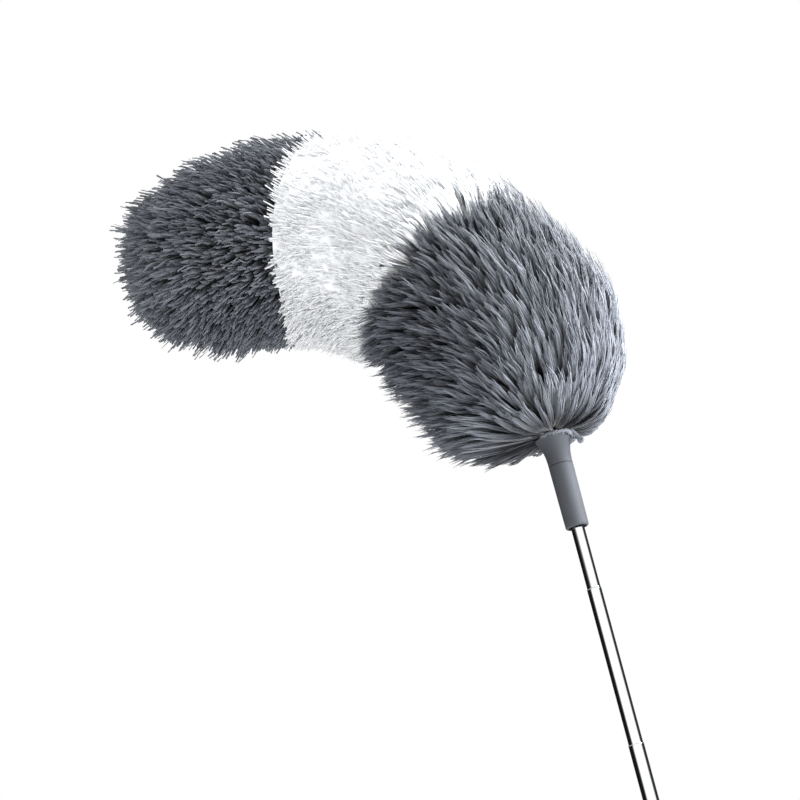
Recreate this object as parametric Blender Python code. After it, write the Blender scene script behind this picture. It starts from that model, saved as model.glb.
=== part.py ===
"""An extendable duster: telescopic pole, screw-on collar and bendable pile head.

Metres, +Z up. The pole stands on +Z with the middle of the hand grip at the
origin. The head leans over towards -X, as a bent wire core holds it.
"""

import math
import random

import bmesh
import bpy
from mathutils import Vector

# Clearances used all over the duster
SEAT_GAP = 0.0003
SLIDE_GAP = 0.00005
STACK_GAP = 0.001
MERGE_DISTANCE = 0.000001

# Counts and facets
SECTION_COUNT = 6
TUBE_SIDES = 24
CORE_SIDES = 8
RIM_STEPS = 6
EYE_STEPS = 12
SHARP_ANGLE = math.radians(35)

# Telescopic tubes, thinnest at the head
TIP_TUBE_RADIUS = 0.005
TUBE_WALL = 0.0002
TUBE_SPACE = 0.00015
LIP_LENGTH = 0.002
LIP_ROLL = 0.0001
TIP_EXPOSURE = 0.047
SECTION_EXPOSURE = 0.117
BASE_EXPOSURE = 0.210
CLOSED_STEP = 0.004
BUSH_FLANGE = 0.002
BUSH_SPIGOT = 0.006
BUSH_VENT_RADIUS = 0.0015

# Hand grip and its fittings
GRIP_LENGTH = 0.130
GRIP_END_RADIUS = 0.0132
GRIP_SWELL = 0.0012
GROOVE_COUNT = 9
GROOVE_DEPTH = 0.001
GROOVE_WIDTH = 0.003
GROOVE_MARGIN = 0.012
HANDLE_WALL = 0.003
HANDLE_NOSE = 0.010
FRONT_RING_LENGTH = 0.020
FRONT_RING_LAND = 0.006
FRONT_RING_WALL = 0.0015
CAP_LENGTH = 0.008
CAP_SPIGOT = 0.012
CAP_EDGE = 0.001
EYE_RADIUS = 0.011
EYE_THICKNESS = 0.007
EYE_DROP = 0.010
EYE_HOLE_RADIUS = 0.005
EYE_OVERRUN = 0.003

# Plastic sleeve that is pressed on the pole's tip
SLEEVE_LENGTH = 0.049
SLEEVE_END_RADIUS = 0.00875
SLEEVE_LIP = 0.0015
SLEEVE_RECESS_RADIUS = 0.007
SLEEVE_RECESS_DEPTH = 0.003
SLEEVE_FLOOR = 0.0045
SEAM_RADIUS = 0.0092
SEAM_EDGE = 0.0003
THREAD_RADIUS = 0.006
THREAD_LENGTH = 0.0135
THREAD_EDGE = 0.0006

# Flared ferrule at the foot of the head
FERRULE_LENGTH = 0.022
FERRULE_RIM_RADIUS = 0.0146
FERRULE_WALL = 0.0017
FERRULE_RIM_EDGE = 0.0005
FERRULE_CUP_DEPTH = 0.008
FERRULE_POST_RADIUS = 0.007
FERRULE_POST_HEIGHT = 0.012
FERRULE_POST_EDGE = 0.0008
FERRULE_WEB = 0.003
FLARE_POWER = 2.6
CORE_SEAT_DEPTH = 0.004
BAND_WALL = 0.0016
BAND_HEIGHT = 0.005
BAND_DEPTH = 0.0035

# Bent wire core and its sleeve
CORE_WIRE_RADIUS = 0.002
CORE_SLEEVE_WALL = 0.0017
CORE_LEAD = 0.013
CORE_STEP = 0.0155
CORE_BEND = math.radians(90)
TIP_CAP_WALL = 0.0015
TIP_CAP_GRIP = 0.008
TIP_CAP_END = 0.003

# Bands of the pile, from the ferrule to the tip: length, links, colour name
FOOT_BAND = 0.150
WHITE_BAND = 0.110
TIP_BAND = 0.100
PILE_BANDS = (
    (FOOT_BAND, 3, "grey"),
    (WHITE_BAND, 2, "white"),
    (TIP_BAND, 1, "grey"),
)
LINK_BEND_SHARES = (0.135, 0.166, 0.156, 0.168, 0.168, 0.207)

# Pile: cloth backing and its tufts
CLOTH_RADIUS = 0.015
CLOTH_WALL = 0.0015
CLOTH_START = 0.004
CLOTH_SPREAD = 0.020
CLOTH_DOME = 0.011
PILE_FOOT = 0.003
PILE_RADIUS = 0.090
TUFT_COLUMNS = 20
TUFT_PITCH = 0.018
TUFT_MID_SHARE = 0.64
TUFT_MID_WIDTH_SHARE = 0.66
TUFT_TIP_WIDTH_SHARE = 0.34
TUFT_RISE_SHARE = 0.62
TUFT_STAGGER_SHARE = 0.25
TUFT_DRIFT_SHARE = 0.14
TUFT_SHORT_SHARE = 0.10
DOME_ROW_SHARES = (1.0, 1.45, 1.8, 2.0)
DOME_SKIPS = (1, 2, 4)
PILE_SEED = 11

# Where a tuft that starts at a share of the core ends: how far ahead of its root
# and how far out, as shares of the pile's radius. Past 1 the root is on the dome.
TUFT_END_SHARES = (
    (0.00, -0.01, 0.52),
    (0.03, 0.00, 0.73),
    (0.06, 0.09, 0.89),
    (0.12, 0.15, 0.98),
    (0.17, 0.18, 1.00),
    (0.35, 0.20, 1.00),
    (0.52, 0.20, 0.96),
    (0.66, 0.20, 0.94),
    (0.79, 0.215, 0.95),
    (0.85, 0.25, 0.93),
    (0.92, 0.32, 0.85),
    (1.00, 0.36, 0.66),
    (1.50, 0.45, 0.40),
    (2.00, 0.50, 0.00),
)

# Heights and lengths that follow from the sizes above
GRIP_BOTTOM = -GRIP_LENGTH / 2
GRIP_TOP = GRIP_LENGTH / 2
BASE_BOTTOM = GRIP_BOTTOM + CAP_SPIGOT + SEAT_GAP
BASE_TOP = GRIP_TOP + FRONT_RING_LENGTH + BASE_EXPOSURE
BUSH_DROP = BUSH_FLANGE + SEAT_GAP
SLEEVE_BOTTOM = BASE_TOP + (SECTION_COUNT - 1) * SECTION_EXPOSURE + TIP_EXPOSURE
SEAM_HEIGHT = SLEEVE_BOTTOM + SLEEVE_LENGTH
RIM_HEIGHT = SEAM_HEIGHT + FERRULE_LENGTH
CORE_END = sum(length for length, links, colour in PILE_BANDS)
CORE_SLEEVE_RADIUS = CORE_WIRE_RADIUS + SEAT_GAP + CORE_SLEEVE_WALL


def clear_scene():
    for item in list(bpy.data.objects):
        bpy.data.objects.remove(item, do_unlink=True)


def surface(name, colour, roughness, metallic=0.0):
    """A plain material in the piece's own colour."""
    made = bpy.data.materials.new(name)
    made.use_nodes = True
    shader = made.node_tree.nodes["Principled BSDF"]
    shader.inputs["Base Color"].default_value = (*colour, 1)
    shader.inputs["Roughness"].default_value = roughness
    shader.inputs["Metallic"].default_value = metallic
    made.diffuse_color = (*colour, 1)
    return made


def world_place(item):
    """The place of an object that only has moves, no turns, above it."""
    place = Vector((0, 0, 0))
    while item:
        place += item.location
        item = item.parent
    return place


def carrier(name, place, parent=None):
    """An empty on a joint, which carries the pieces that move with it."""
    made = bpy.data.objects.new(name, None)
    made.empty_display_size = CLOTH_RADIUS
    made.location = place - world_place(parent)
    made.parent = parent
    bpy.context.scene.collection.objects.link(made)
    return made


def piece(name, bm, material, parent):
    """Turns a mesh in world coordinates into an object that rides on its carrier."""
    bmesh.ops.translate(bm, verts=bm.verts, vec=-world_place(parent))
    mesh = bpy.data.meshes.new(name)
    bm.to_mesh(mesh)
    bm.free()
    mesh.shade_smooth()
    mesh.set_sharp_from_angle(angle=SHARP_ANGLE)
    mesh.materials.append(material)
    made = bpy.data.objects.new(name, mesh)
    made.parent = parent
    bpy.context.scene.collection.objects.link(made)
    return made


def helper(name, bm, parent):
    """A cutter or an added shape, which only a Boolean uses."""
    made = piece(name, bm, surface(name, (0.5, 0.5, 0.5), 0.5), parent)
    made.hide_render = True
    made.display_type = "WIRE"
    return made


def combine(target, other, operation):
    step = target.modifiers.new(operation.lower(), "BOOLEAN")
    step.operation = operation
    step.solver = "EXACT"
    step.object = other


def turned(outline, sides=TUBE_SIDES):
    """A solid turned about Z from a closed outline of (radius, height) points."""
    bm = bmesh.new()
    corners = [bm.verts.new((radius, 0, height)) for radius, height in outline]
    edges = []
    for first, second in zip(corners, corners[1:] + corners[:1]):
        if first.co.x or second.co.x:
            edges.append(bm.edges.new((first, second)))
    bmesh.ops.spin(
        bm,
        geom=corners + edges,
        cent=(0, 0, 0),
        axis=(0, 0, 1),
        angle=math.tau,
        steps=sides,
        use_merge=True,
    )
    bmesh.ops.remove_doubles(bm, verts=bm.verts, dist=MERGE_DISTANCE)
    bmesh.ops.recalc_face_normals(bm, faces=bm.faces)
    return bm


def mix(start, end, share):
    return start + (end - start) * share


# Telescopic pole


def tube_radius(section):
    """Outer radius. Section 1 is at the head, and the base tube comes after the last."""
    return TIP_TUBE_RADIUS + (section - 1) * (TUBE_WALL + TUBE_SPACE)


def tube_bore(section):
    return tube_radius(section) - TUBE_WALL


def tube_top(section):
    """Height of a tube's upper end. The tip tube's is inside the plastic sleeve."""
    if section == 1:
        return SEAM_HEIGHT - SLEEVE_FLOOR - SEAT_GAP
    return BASE_TOP + (SECTION_COUNT + 1 - section) * SECTION_EXPOSURE


def nested_length(section):
    """Length below the next thinner tube's seat, so that all tubes nest when closed."""
    base_length = BASE_TOP - BASE_BOTTOM
    first = base_length + CLOSED_STEP - BUSH_DROP - STACK_GAP
    shorter = BUSH_DROP + BUSH_SPIGOT + STACK_GAP - CLOSED_STEP
    return first - (SECTION_COUNT - section) * shorter


def tube_bottom(section):
    if section == 1:
        return SLEEVE_BOTTOM - nested_length(section)
    return tube_top(section) - nested_length(section)


def lipped_tube(section, bottom):
    """A thin tube whose upper end is rolled in round the next thinner one."""
    outer = tube_radius(section)
    bore = tube_bore(section)
    throat = tube_radius(section - 1) + SLIDE_GAP
    top = tube_top(section)
    under = top - LIP_LENGTH
    return turned(
        [
            (bore, bottom),
            (outer, bottom),
            (outer, under),
            (outer - LIP_ROLL, top),
            (throat, top),
            (throat, under),
            (bore, under - LIP_LENGTH),
        ]
    )


def plain_tube(section):
    outer = tube_radius(section)
    bore = tube_bore(section)
    top = tube_top(section)
    bottom = tube_bottom(section)
    return turned([(bore, bottom), (outer, bottom), (outer, top), (bore, top)])


def slide_bush(section):
    """Bush in the foot of a tube. Its flange runs in the bore of the next wider tube."""
    foot = tube_bottom(section)
    flange = tube_bore(section + 1) - SLIDE_GAP
    spigot = tube_bore(section) - SLIDE_GAP
    return turned(
        [
            (BUSH_VENT_RADIUS, foot - BUSH_DROP),
            (flange, foot - BUSH_DROP),
            (flange, foot - SEAT_GAP),
            (spigot, foot - SEAT_GAP),
            (spigot, foot + BUSH_SPIGOT),
            (BUSH_VENT_RADIUS, foot + BUSH_SPIGOT),
        ]
    )


# Hand grip


def handle_radii():
    """Bore and outer radius of the moulded tube inside the grip."""
    bore = tube_radius(SECTION_COUNT + 1) + SEAT_GAP
    return bore, bore + HANDLE_WALL


def handle_core():
    bore, outer = handle_radii()
    top = GRIP_TOP + HANDLE_NOSE
    return turned([(bore, GRIP_BOTTOM), (outer, GRIP_BOTTOM), (outer, top), (bore, top)])


def grip_radius(height):
    along = (height - GRIP_BOTTOM) / GRIP_LENGTH
    return GRIP_END_RADIUS + GRIP_SWELL * math.sin(math.pi * along)


def grip_sleeve():
    """Soft sleeve with grooves across it for the fingers."""
    bore = handle_radii()[1] + SEAT_GAP
    outline = [(bore, GRIP_BOTTOM), (GRIP_END_RADIUS, GRIP_BOTTOM)]
    first = GRIP_BOTTOM + GROOVE_MARGIN
    pitch = (GRIP_LENGTH - 2 * GROOVE_MARGIN) / (GROOVE_COUNT - 1)
    for groove in range(GROOVE_COUNT):
        middle = first + groove * pitch
        for offset, depth in (
            (-GROOVE_WIDTH / 2, 0),
            (0, GROOVE_DEPTH),
            (GROOVE_WIDTH / 2, 0),
        ):
            height = middle + offset
            outline.append((grip_radius(height) - depth, height))
    outline += [(GRIP_END_RADIUS, GRIP_TOP), (bore, GRIP_TOP)]
    return turned(outline)


def front_ring():
    """Ring that closes the front of the handle round the base tube."""
    throat, core_outer = handle_radii()
    foot = GRIP_TOP + SEAT_GAP
    top = GRIP_TOP + FRONT_RING_LENGTH
    shoulder = GRIP_TOP + HANDLE_NOSE + SEAT_GAP
    return turned(
        [
            (core_outer + SEAT_GAP, foot),
            (GRIP_END_RADIUS, foot),
            (GRIP_END_RADIUS, foot + FRONT_RING_LAND),
            (throat + FRONT_RING_WALL, top),
            (throat, top),
            (throat, shoulder),
            (core_outer + SEAT_GAP, shoulder),
        ]
    )


def end_cap_body():
    top = GRIP_BOTTOM - SEAT_GAP
    bottom = top - CAP_LENGTH
    spigot = tube_radius(SECTION_COUNT + 1)
    return turned(
        [
            (0, bottom),
            (GRIP_END_RADIUS - CAP_EDGE, bottom),
            (GRIP_END_RADIUS, bottom + CAP_EDGE),
            (GRIP_END_RADIUS, top),
            (spigot, top),
            (spigot, GRIP_BOTTOM + CAP_SPIGOT),
            (0, GRIP_BOTTOM + CAP_SPIGOT),
        ]
    )


def eye_height():
    return GRIP_BOTTOM - SEAT_GAP - CAP_LENGTH - EYE_DROP


def slab(outline, thickness):
    """An outline in the XZ plane, given a thickness along Y about the middle."""
    bm = bmesh.new()
    corners = [bm.verts.new((x, -thickness / 2, z)) for x, z in outline]
    face = bm.faces.new(corners)
    grown = bmesh.ops.extrude_face_region(bm, geom=[face])["geom"]
    moved = [item for item in grown if isinstance(item, bmesh.types.BMVert)]
    bmesh.ops.translate(bm, verts=moved, vec=(0, thickness, 0))
    bmesh.ops.recalc_face_normals(bm, faces=bm.faces)
    return bm


def arc_points(radius, height, start, end, steps):
    angles = [mix(start, end, step / steps) for step in range(steps + 1)]
    return [(radius * math.cos(a), height + radius * math.sin(a)) for a in angles]


def eye_plate():
    """Tab under the end cap, round at its lower end."""
    top = GRIP_BOTTOM - SEAT_GAP - CAP_LENGTH + EYE_OVERRUN
    outline = arc_points(EYE_RADIUS, eye_height(), math.pi, math.tau, EYE_STEPS)
    outline += [(EYE_RADIUS, top), (-EYE_RADIUS, top)]
    return slab(outline, EYE_THICKNESS)


def eye_hole():
    outline = arc_points(EYE_HOLE_RADIUS, eye_height(), 0, math.tau, 2 * EYE_STEPS)
    return slab(outline[:-1], EYE_THICKNESS + 2 * EYE_OVERRUN)


# Sleeve and ferrule


def pole_sleeve():
    """Sleeve on the tip tube, with the threaded stub that the head screws onto."""
    top = SEAM_HEIGHT - SEAT_GAP / 2
    bore = TIP_TUBE_RADIUS + SEAT_GAP
    recess = SLEEVE_BOTTOM + SLEEVE_RECESS_DEPTH
    outline = [
        (0, top + THREAD_LENGTH),
        (THREAD_RADIUS - THREAD_EDGE, top + THREAD_LENGTH),
        (THREAD_RADIUS, top + THREAD_LENGTH - THREAD_EDGE),
        (THREAD_RADIUS, top),
        (SEAM_RADIUS - SEAM_EDGE, top),
        (SEAM_RADIUS, top - SEAM_EDGE),
    ]
    lip = SLEEVE_BOTTOM + SLEEVE_LIP
    for turn in range(RIM_STEPS // 2 + 1):
        angle = mix(0, math.pi / 2, turn / (RIM_STEPS // 2))
        inward = SLEEVE_LIP * (1 - math.cos(angle))
        outline.append((SLEEVE_END_RADIUS - inward, lip - SLEEVE_LIP * math.sin(angle)))
    outline += [
        (SLEEVE_RECESS_RADIUS, SLEEVE_BOTTOM),
        (SLEEVE_RECESS_RADIUS, recess),
        (bore, recess),
        (bore, SEAM_HEIGHT - SLEEVE_FLOOR),
        (0, SEAM_HEIGHT - SLEEVE_FLOOR),
    ]
    return turned(outline)


def flare_radius(height):
    """Outer radius of the ferrule, which opens like a trumpet towards its rim."""
    along = (height - SEAM_HEIGHT) / FERRULE_LENGTH
    return SEAM_RADIUS + (FERRULE_RIM_RADIUS - SEAM_RADIUS) * along**FLARE_POWER


def head_ferrule():
    """Flared cup with the post that the cloth is bound to and the core is set in."""
    foot = SEAM_HEIGHT + SEAT_GAP / 2
    cup_floor = RIM_HEIGHT - FERRULE_CUP_DEPTH
    bore = THREAD_RADIUS + SEAT_GAP
    socket = CORE_SLEEVE_RADIUS + SEAT_GAP
    web_top = RIM_HEIGHT - CORE_SEAT_DEPTH
    post_top = RIM_HEIGHT + FERRULE_POST_HEIGHT
    outline = [(bore, foot), (SEAM_RADIUS, foot)]
    for step in range(1, RIM_STEPS + 1):
        height = mix(foot, RIM_HEIGHT - FERRULE_RIM_EDGE, step / RIM_STEPS)
        outline.append((flare_radius(height), height))
    outline.append((FERRULE_RIM_RADIUS - FERRULE_RIM_EDGE, RIM_HEIGHT))
    for step in range(RIM_STEPS // 2 + 1):
        height = mix(RIM_HEIGHT, cup_floor, step / (RIM_STEPS // 2))
        outline.append((flare_radius(height) - FERRULE_WALL, height))
    outline += [
        (FERRULE_POST_RADIUS, cup_floor),
        (FERRULE_POST_RADIUS, post_top - FERRULE_POST_EDGE),
        (FERRULE_POST_RADIUS - FERRULE_POST_EDGE, post_top),
        (socket, post_top),
        (socket, web_top),
        (0, web_top),
        (0, web_top - FERRULE_WEB),
        (bore, web_top - FERRULE_WEB),
    ]
    return turned(outline)


def binding_band():
    """Band that clamps the foot of the cloth round the ferrule's post."""
    bore = FERRULE_POST_RADIUS + SEAT_GAP + CLOTH_WALL + SEAT_GAP
    foot = RIM_HEIGHT - BAND_DEPTH
    top = foot + BAND_HEIGHT
    outer = bore + BAND_WALL
    return turned([(bore, foot), (outer, foot), (outer, top), (bore, top)])


# Core of the head, drawn straight above the rim and then bent


def link_lengths():
    return [length / links for length, links, colour in PILE_BANDS for _ in range(links)]


def link_starts():
    """Distance of each link's lower end above the rim."""
    lengths = link_lengths()
    return [sum(lengths[:count]) for count in range(len(lengths))]


def core_runs():
    """Length and turn of each arc of the core. Its foot is held straight."""
    turns = [CORE_BEND * share / sum(LINK_BEND_SHARES) for share in LINK_BEND_SHARES]
    runs = list(zip(link_lengths(), turns))
    first_length, first_turn = runs[0]
    return [(CORE_LEAD, 0), (first_length - CORE_LEAD, first_turn)] + runs[1:]


def core_place(distance):
    """Centre of the core and its lean, at a distance above the rim."""
    centre = Vector((0, 0, RIM_HEIGHT))
    lean = 0
    left = distance
    for length, turn in core_runs():
        run = min(left, length)
        if run <= 0:
            break
        half = turn * run / length / 2
        chord = run * math.sin(half) / half if half else run
        centre += chord * Vector((-math.sin(lean + half), 0, math.cos(lean + half)))
        lean += 2 * half
        left -= run
    return centre + left * Vector((-math.sin(lean), 0, math.cos(lean))), lean


def bend(bm):
    """Bends a mesh that was drawn about Z, with heights counted from the rim."""
    places = {}
    for vert in bm.verts:
        if vert.co.z not in places:
            places[vert.co.z] = core_place(vert.co.z)
        centre, lean = places[vert.co.z]
        out = Vector((math.cos(lean), 0, math.sin(lean)))
        vert.co = centre + vert.co.x * out + Vector((0, vert.co.y, 0))
    bmesh.ops.recalc_face_normals(bm, faces=bm.faces)
    return bm


def stations(start, end):
    """Distances from start to end, close enough together to follow the bend."""
    steps = max(round((end - start) / CORE_STEP), 1)
    return [mix(start, end, step / steps) for step in range(steps + 1)]


def core_wire(link):
    """One length of the wire. Its round far end is centred on the next joint."""
    starts = link_starts() + [CORE_END]
    foot = -CORE_SEAT_DEPTH if link == 0 else starts[link] + CORE_WIRE_RADIUS
    foot += SEAT_GAP
    end = starts[link + 1]
    outline = [(0, foot)]
    outline += [(CORE_WIRE_RADIUS, distance) for distance in stations(foot, end)]
    for step in range(1, RIM_STEPS // 2):
        angle = math.pi * step / RIM_STEPS
        outline.append(
            (CORE_WIRE_RADIUS * math.cos(angle), end + CORE_WIRE_RADIUS * math.sin(angle))
        )
    outline.append((0, end + CORE_WIRE_RADIUS))
    return bend(turned(outline, CORE_SIDES))


def core_sleeve(link):
    starts = link_starts() + [CORE_END]
    foot = -CORE_SEAT_DEPTH + SEAT_GAP if link == 0 else starts[link] + SEAT_GAP / 2
    end = starts[link + 1] - SEAT_GAP / 2
    bore = CORE_WIRE_RADIUS + SEAT_GAP
    along = stations(foot, end)
    outline = [(CORE_SLEEVE_RADIUS, distance) for distance in along]
    outline += [(bore, distance) for distance in reversed(along)]
    return bend(turned(outline, CORE_SIDES))


def tip_cap():
    """Cap over the end of the wire and its sleeve."""
    bore = CORE_SLEEVE_RADIUS + SEAT_GAP
    outer = bore + TIP_CAP_WALL
    floor = CORE_END + CORE_WIRE_RADIUS + SEAT_GAP
    along = stations(CORE_END - TIP_CAP_GRIP, floor)
    outline = [(outer, distance) for distance in along]
    outline += [(outer - TIP_CAP_WALL, floor + TIP_CAP_END), (0, floor + TIP_CAP_END)]
    outline += [(0, floor)]
    outline += [(bore, distance) for distance in reversed(along)]
    return bend(turned(outline, CORE_SIDES))


# Pile


def cloth_root(along):
    """Distance and radius of the cloth where the share along of the pile starts."""
    if along <= 1:
        distance = mix(PILE_FOOT, CORE_END, along)
        spread = min((distance - PILE_FOOT) / CLOTH_SPREAD, 1)
        foot_radius = FERRULE_POST_RADIUS + SEAT_GAP + CLOTH_WALL
        return distance, mix(foot_radius, CLOTH_RADIUS, spread)
    angle = (along - 1) * math.pi / 2
    return CORE_END + CLOTH_DOME * math.sin(angle), CLOTH_RADIUS * math.cos(angle)


def tuft_end(along):
    """Distance and radius where a tuft ends that starts at the share along."""
    for low, high in zip(TUFT_END_SHARES, TUFT_END_SHARES[1:]):
        if along <= high[0]:
            break
    share = (along - low[0]) / (high[0] - low[0])
    ahead = mix(low[1], high[1], share) * PILE_RADIUS
    return cloth_root(along)[0] + ahead, mix(low[2], high[2], share) * PILE_RADIUS


def pile_point(along, angle, rise):
    """A point of the pile: rise is 0 on the cloth and 1 at a tuft's end."""
    root, root_radius = cloth_root(along)
    end, end_radius = tuft_end(along)
    knee = mix(root_radius, end_radius, TUFT_RISE_SHARE)
    weights = ((1 - rise) ** 2, 2 * rise * (1 - rise), rise**2)
    distance = sum(w * d for w, d in zip(weights, (root, root, end)))
    radius = sum(w * r for w, r in zip(weights, (root_radius, knee, end_radius)))
    return Vector((radius * math.cos(angle), radius * math.sin(angle), distance))


def add_tuft(bm, corners, cell, row, rng):
    """A four-sided tuft that grows from one cell of the cloth to a blunt edge."""
    low, high, left, right = cell
    drift_along = rng.uniform(-TUFT_DRIFT_SHARE, TUFT_DRIFT_SHARE) * (high - low)
    drift_round = rng.uniform(-TUFT_DRIFT_SHARE, TUFT_DRIFT_SHARE) * (right - left)
    stagger = TUFT_STAGGER_SHARE * (right - left) * (1 if row % 2 else -1)
    full = 1 - rng.uniform(0, TUFT_SHORT_SHARE)
    middle = (low + high) / 2
    centre = (left + right) / 2

    def place(along, angle, width, rise):
        along = middle + (along - middle) * width + drift_along * rise
        angle = centre + (angle - centre) * width + (drift_round + stagger) * rise
        return bm.verts.new(pile_point(along, angle, rise * full))

    spots = ((low, left), (low, right), (high, right), (high, left))
    ring = [place(*spot, TUFT_MID_WIDTH_SHARE, TUFT_MID_SHARE) for spot in spots]
    tips = [place(middle, side, TUFT_TIP_WIDTH_SHARE, 1) for side in (left, right)]
    for first in range(len(corners)):
        second = (first + 1) % len(corners)
        bm.faces.new((corners[first], corners[second], ring[second], ring[first]))
    bm.faces.new((ring[0], ring[1], tips[1], tips[0]))
    bm.faces.new((ring[1], ring[2], tips[1]))
    bm.faces.new((ring[2], ring[3], tips[0], tips[1]))
    bm.faces.new((ring[3], ring[0], tips[0]))


def add_spike(bm, corners, left, right):
    """A three-sided tuft on the point of the dome."""
    low = DOME_ROW_SHARES[-2]
    middle = (low + DOME_ROW_SHARES[-1]) / 2
    tip = bm.verts.new(pile_point(middle, (left + right) / 2, 1))
    for first in range(len(corners)):
        bm.faces.new((corners[first], corners[(first + 1) % len(corners)], tip))


def ring_of(bm, distance, radius):
    angles = [math.tau * column / TUFT_COLUMNS for column in range(TUFT_COLUMNS)]
    return [bm.verts.new((radius * math.cos(a), radius * math.sin(a), distance)) for a in angles]


def join_rings(bm, first, second):
    for column in range(TUFT_COLUMNS):
        after = (column + 1) % TUFT_COLUMNS
        bm.faces.new((first[column], first[after], second[after], second[column]))


def join_point(bm, ring, point):
    for column in range(TUFT_COLUMNS):
        bm.faces.new((ring[column], ring[(column + 1) % TUFT_COLUMNS], point))


def cloth_bore(link):
    """Distance and radius of each ring of the bore that the core runs through."""
    starts = link_starts() + [CORE_END]
    plain = CORE_SLEEVE_RADIUS + SEAT_GAP
    foot = starts[link] + SEAT_GAP / 2
    end = starts[link + 1] - SEAT_GAP / 2
    if link == 0:
        post = FERRULE_POST_RADIUS + SEAT_GAP
        post_top = FERRULE_POST_HEIGHT + SEAT_GAP
        rings = [(-CLOTH_START, post), (post_top, post)]
        return rings + [(distance, plain) for distance in stations(post_top, end)]
    if link < len(starts) - 2:
        return [(distance, plain) for distance in stations(foot, end)]
    cap = plain + TIP_CAP_WALL + SEAT_GAP
    cap_foot = CORE_END - TIP_CAP_GRIP - SEAT_GAP
    cap_end = CORE_END + CORE_WIRE_RADIUS + 2 * SEAT_GAP + TIP_CAP_END
    rings = [(distance, plain) for distance in stations(foot, cap_foot)]
    return rings + [(distance, cap) for distance in stations(cap_foot, cap_end)]


def link_rows(link):
    """Shares of the pile at which the rows of tufts of one link start and end."""
    starts = link_starts() + [CORE_END]
    foot = PILE_FOOT if link == 0 else starts[link] + SEAT_GAP / 2
    end = starts[link + 1]
    if link < len(starts) - 2:
        end -= SEAT_GAP / 2
    rows = round((end - foot) / TUFT_PITCH)
    span = CORE_END - PILE_FOOT
    return [(mix(foot, end, row / rows) - PILE_FOOT) / span for row in range(rows + 1)]


def pile_slice(link):
    """The tufts of one link with the piece of cloth that they are sewn to."""
    rng = random.Random(PILE_SEED + link)
    bm = bmesh.new()
    last = link == len(LINK_BEND_SHARES) - 1
    rows = link_rows(link)
    skips = [1] * (len(rows) - 1)
    if last:
        rows += DOME_ROW_SHARES[1:-1]
        skips += DOME_SKIPS[:-1]
    columns = [math.tau * column / TUFT_COLUMNS for column in range(TUFT_COLUMNS + 1)]
    rings = [ring_of(bm, *cloth_root(along)) for along in rows]
    for row, skip in enumerate(skips):
        for column in range(TUFT_COLUMNS):
            after = (column + 1) % TUFT_COLUMNS
            corners = (
                rings[row][column],
                rings[row][after],
                rings[row + 1][after],
                rings[row + 1][column],
            )
            if (column + row) % skip:
                bm.faces.new(corners)
                continue
            cell = (rows[row], rows[row + 1], columns[column], columns[column + 1])
            add_tuft(bm, corners, cell, row, rng)
    bore = [ring_of(bm, *place) for place in cloth_bore(link)]
    for first, second in zip(bore, bore[1:]):
        join_rings(bm, second, first)
    if link == 0:
        foot = ring_of(bm, -CLOTH_START, cloth_root(0)[1])
        join_rings(bm, foot, rings[0])
        join_rings(bm, bore[0], foot)
    else:
        join_rings(bm, bore[0], rings[0])
    if last:
        point = bm.verts.new((0, 0, cloth_root(DOME_ROW_SHARES[-1])[0]))
        for column in range(TUFT_COLUMNS):
            after = (column + 1) % TUFT_COLUMNS
            corners = (rings[-1][column], rings[-1][after], point)
            if column % DOME_SKIPS[-1]:
                bm.faces.new(corners)
            else:
                add_spike(bm, corners, columns[column], columns[column + 1])
        join_point(bm, bore[-1][::-1], bm.verts.new((0, 0, cloth_bore(link)[-1][0])))
    else:
        join_rings(bm, rings[-1], bore[-1])
    return bend(bm)


# Assembly


def make_handle(materials, root):
    base = SECTION_COUNT + 1
    piece("handle_core", handle_core(), materials["plastic"], root)
    piece("grip_sleeve", grip_sleeve(), materials["rubber"], root)
    piece("front_ring", front_ring(), materials["plastic"], root)
    cap = piece("end_cap", end_cap_body(), materials["plastic"], root)
    combine(cap, helper("eye_plate", eye_plate(), root), "UNION")
    combine(cap, helper("eye_hole", eye_hole(), root), "DIFFERENCE")
    piece("base_tube", lipped_tube(base, BASE_BOTTOM), materials["steel"], root)


def make_sections(materials, root):
    """Each section slides in the one below it, so its carrier hangs on that one's."""
    parent = root
    for section in range(SECTION_COUNT, 0, -1):
        place = Vector((0, 0, tube_bottom(section)))
        parent = carrier(f"slide_{section}", place, parent)
        if section == 1:
            tube = plain_tube(section)
        else:
            tube = lipped_tube(section, tube_bottom(section))
        piece(f"section_tube_{section}", tube, materials["steel"], parent)
        piece(f"slide_bush_{section}", slide_bush(section), materials["nylon"], parent)
    piece("pole_sleeve", pole_sleeve(), materials["plastic"], parent)
    return parent


def make_head(materials, parent):
    parent = carrier("head_turn", Vector((0, 0, SEAM_HEIGHT)), parent)
    piece("head_ferrule", head_ferrule(), materials["plastic"], parent)
    piece("binding_band", binding_band(), materials["nylon"], parent)
    colours = [colour for length, links, colour in PILE_BANDS for _ in range(links)]
    for link, colour in enumerate(colours):
        number = link + 1
        if link:
            place = core_place(link_starts()[link])[0]
            parent = carrier(f"bend_{number}", place, parent)
        piece(f"core_wire_{number}", core_wire(link), materials["wire"], parent)
        piece(f"core_sleeve_{number}", core_sleeve(link), materials["vinyl"], parent)
        piece(f"pile_{number}", pile_slice(link), materials[colour], parent)
    piece("tip_cap", tip_cap(), materials["vinyl"], parent)


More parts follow.
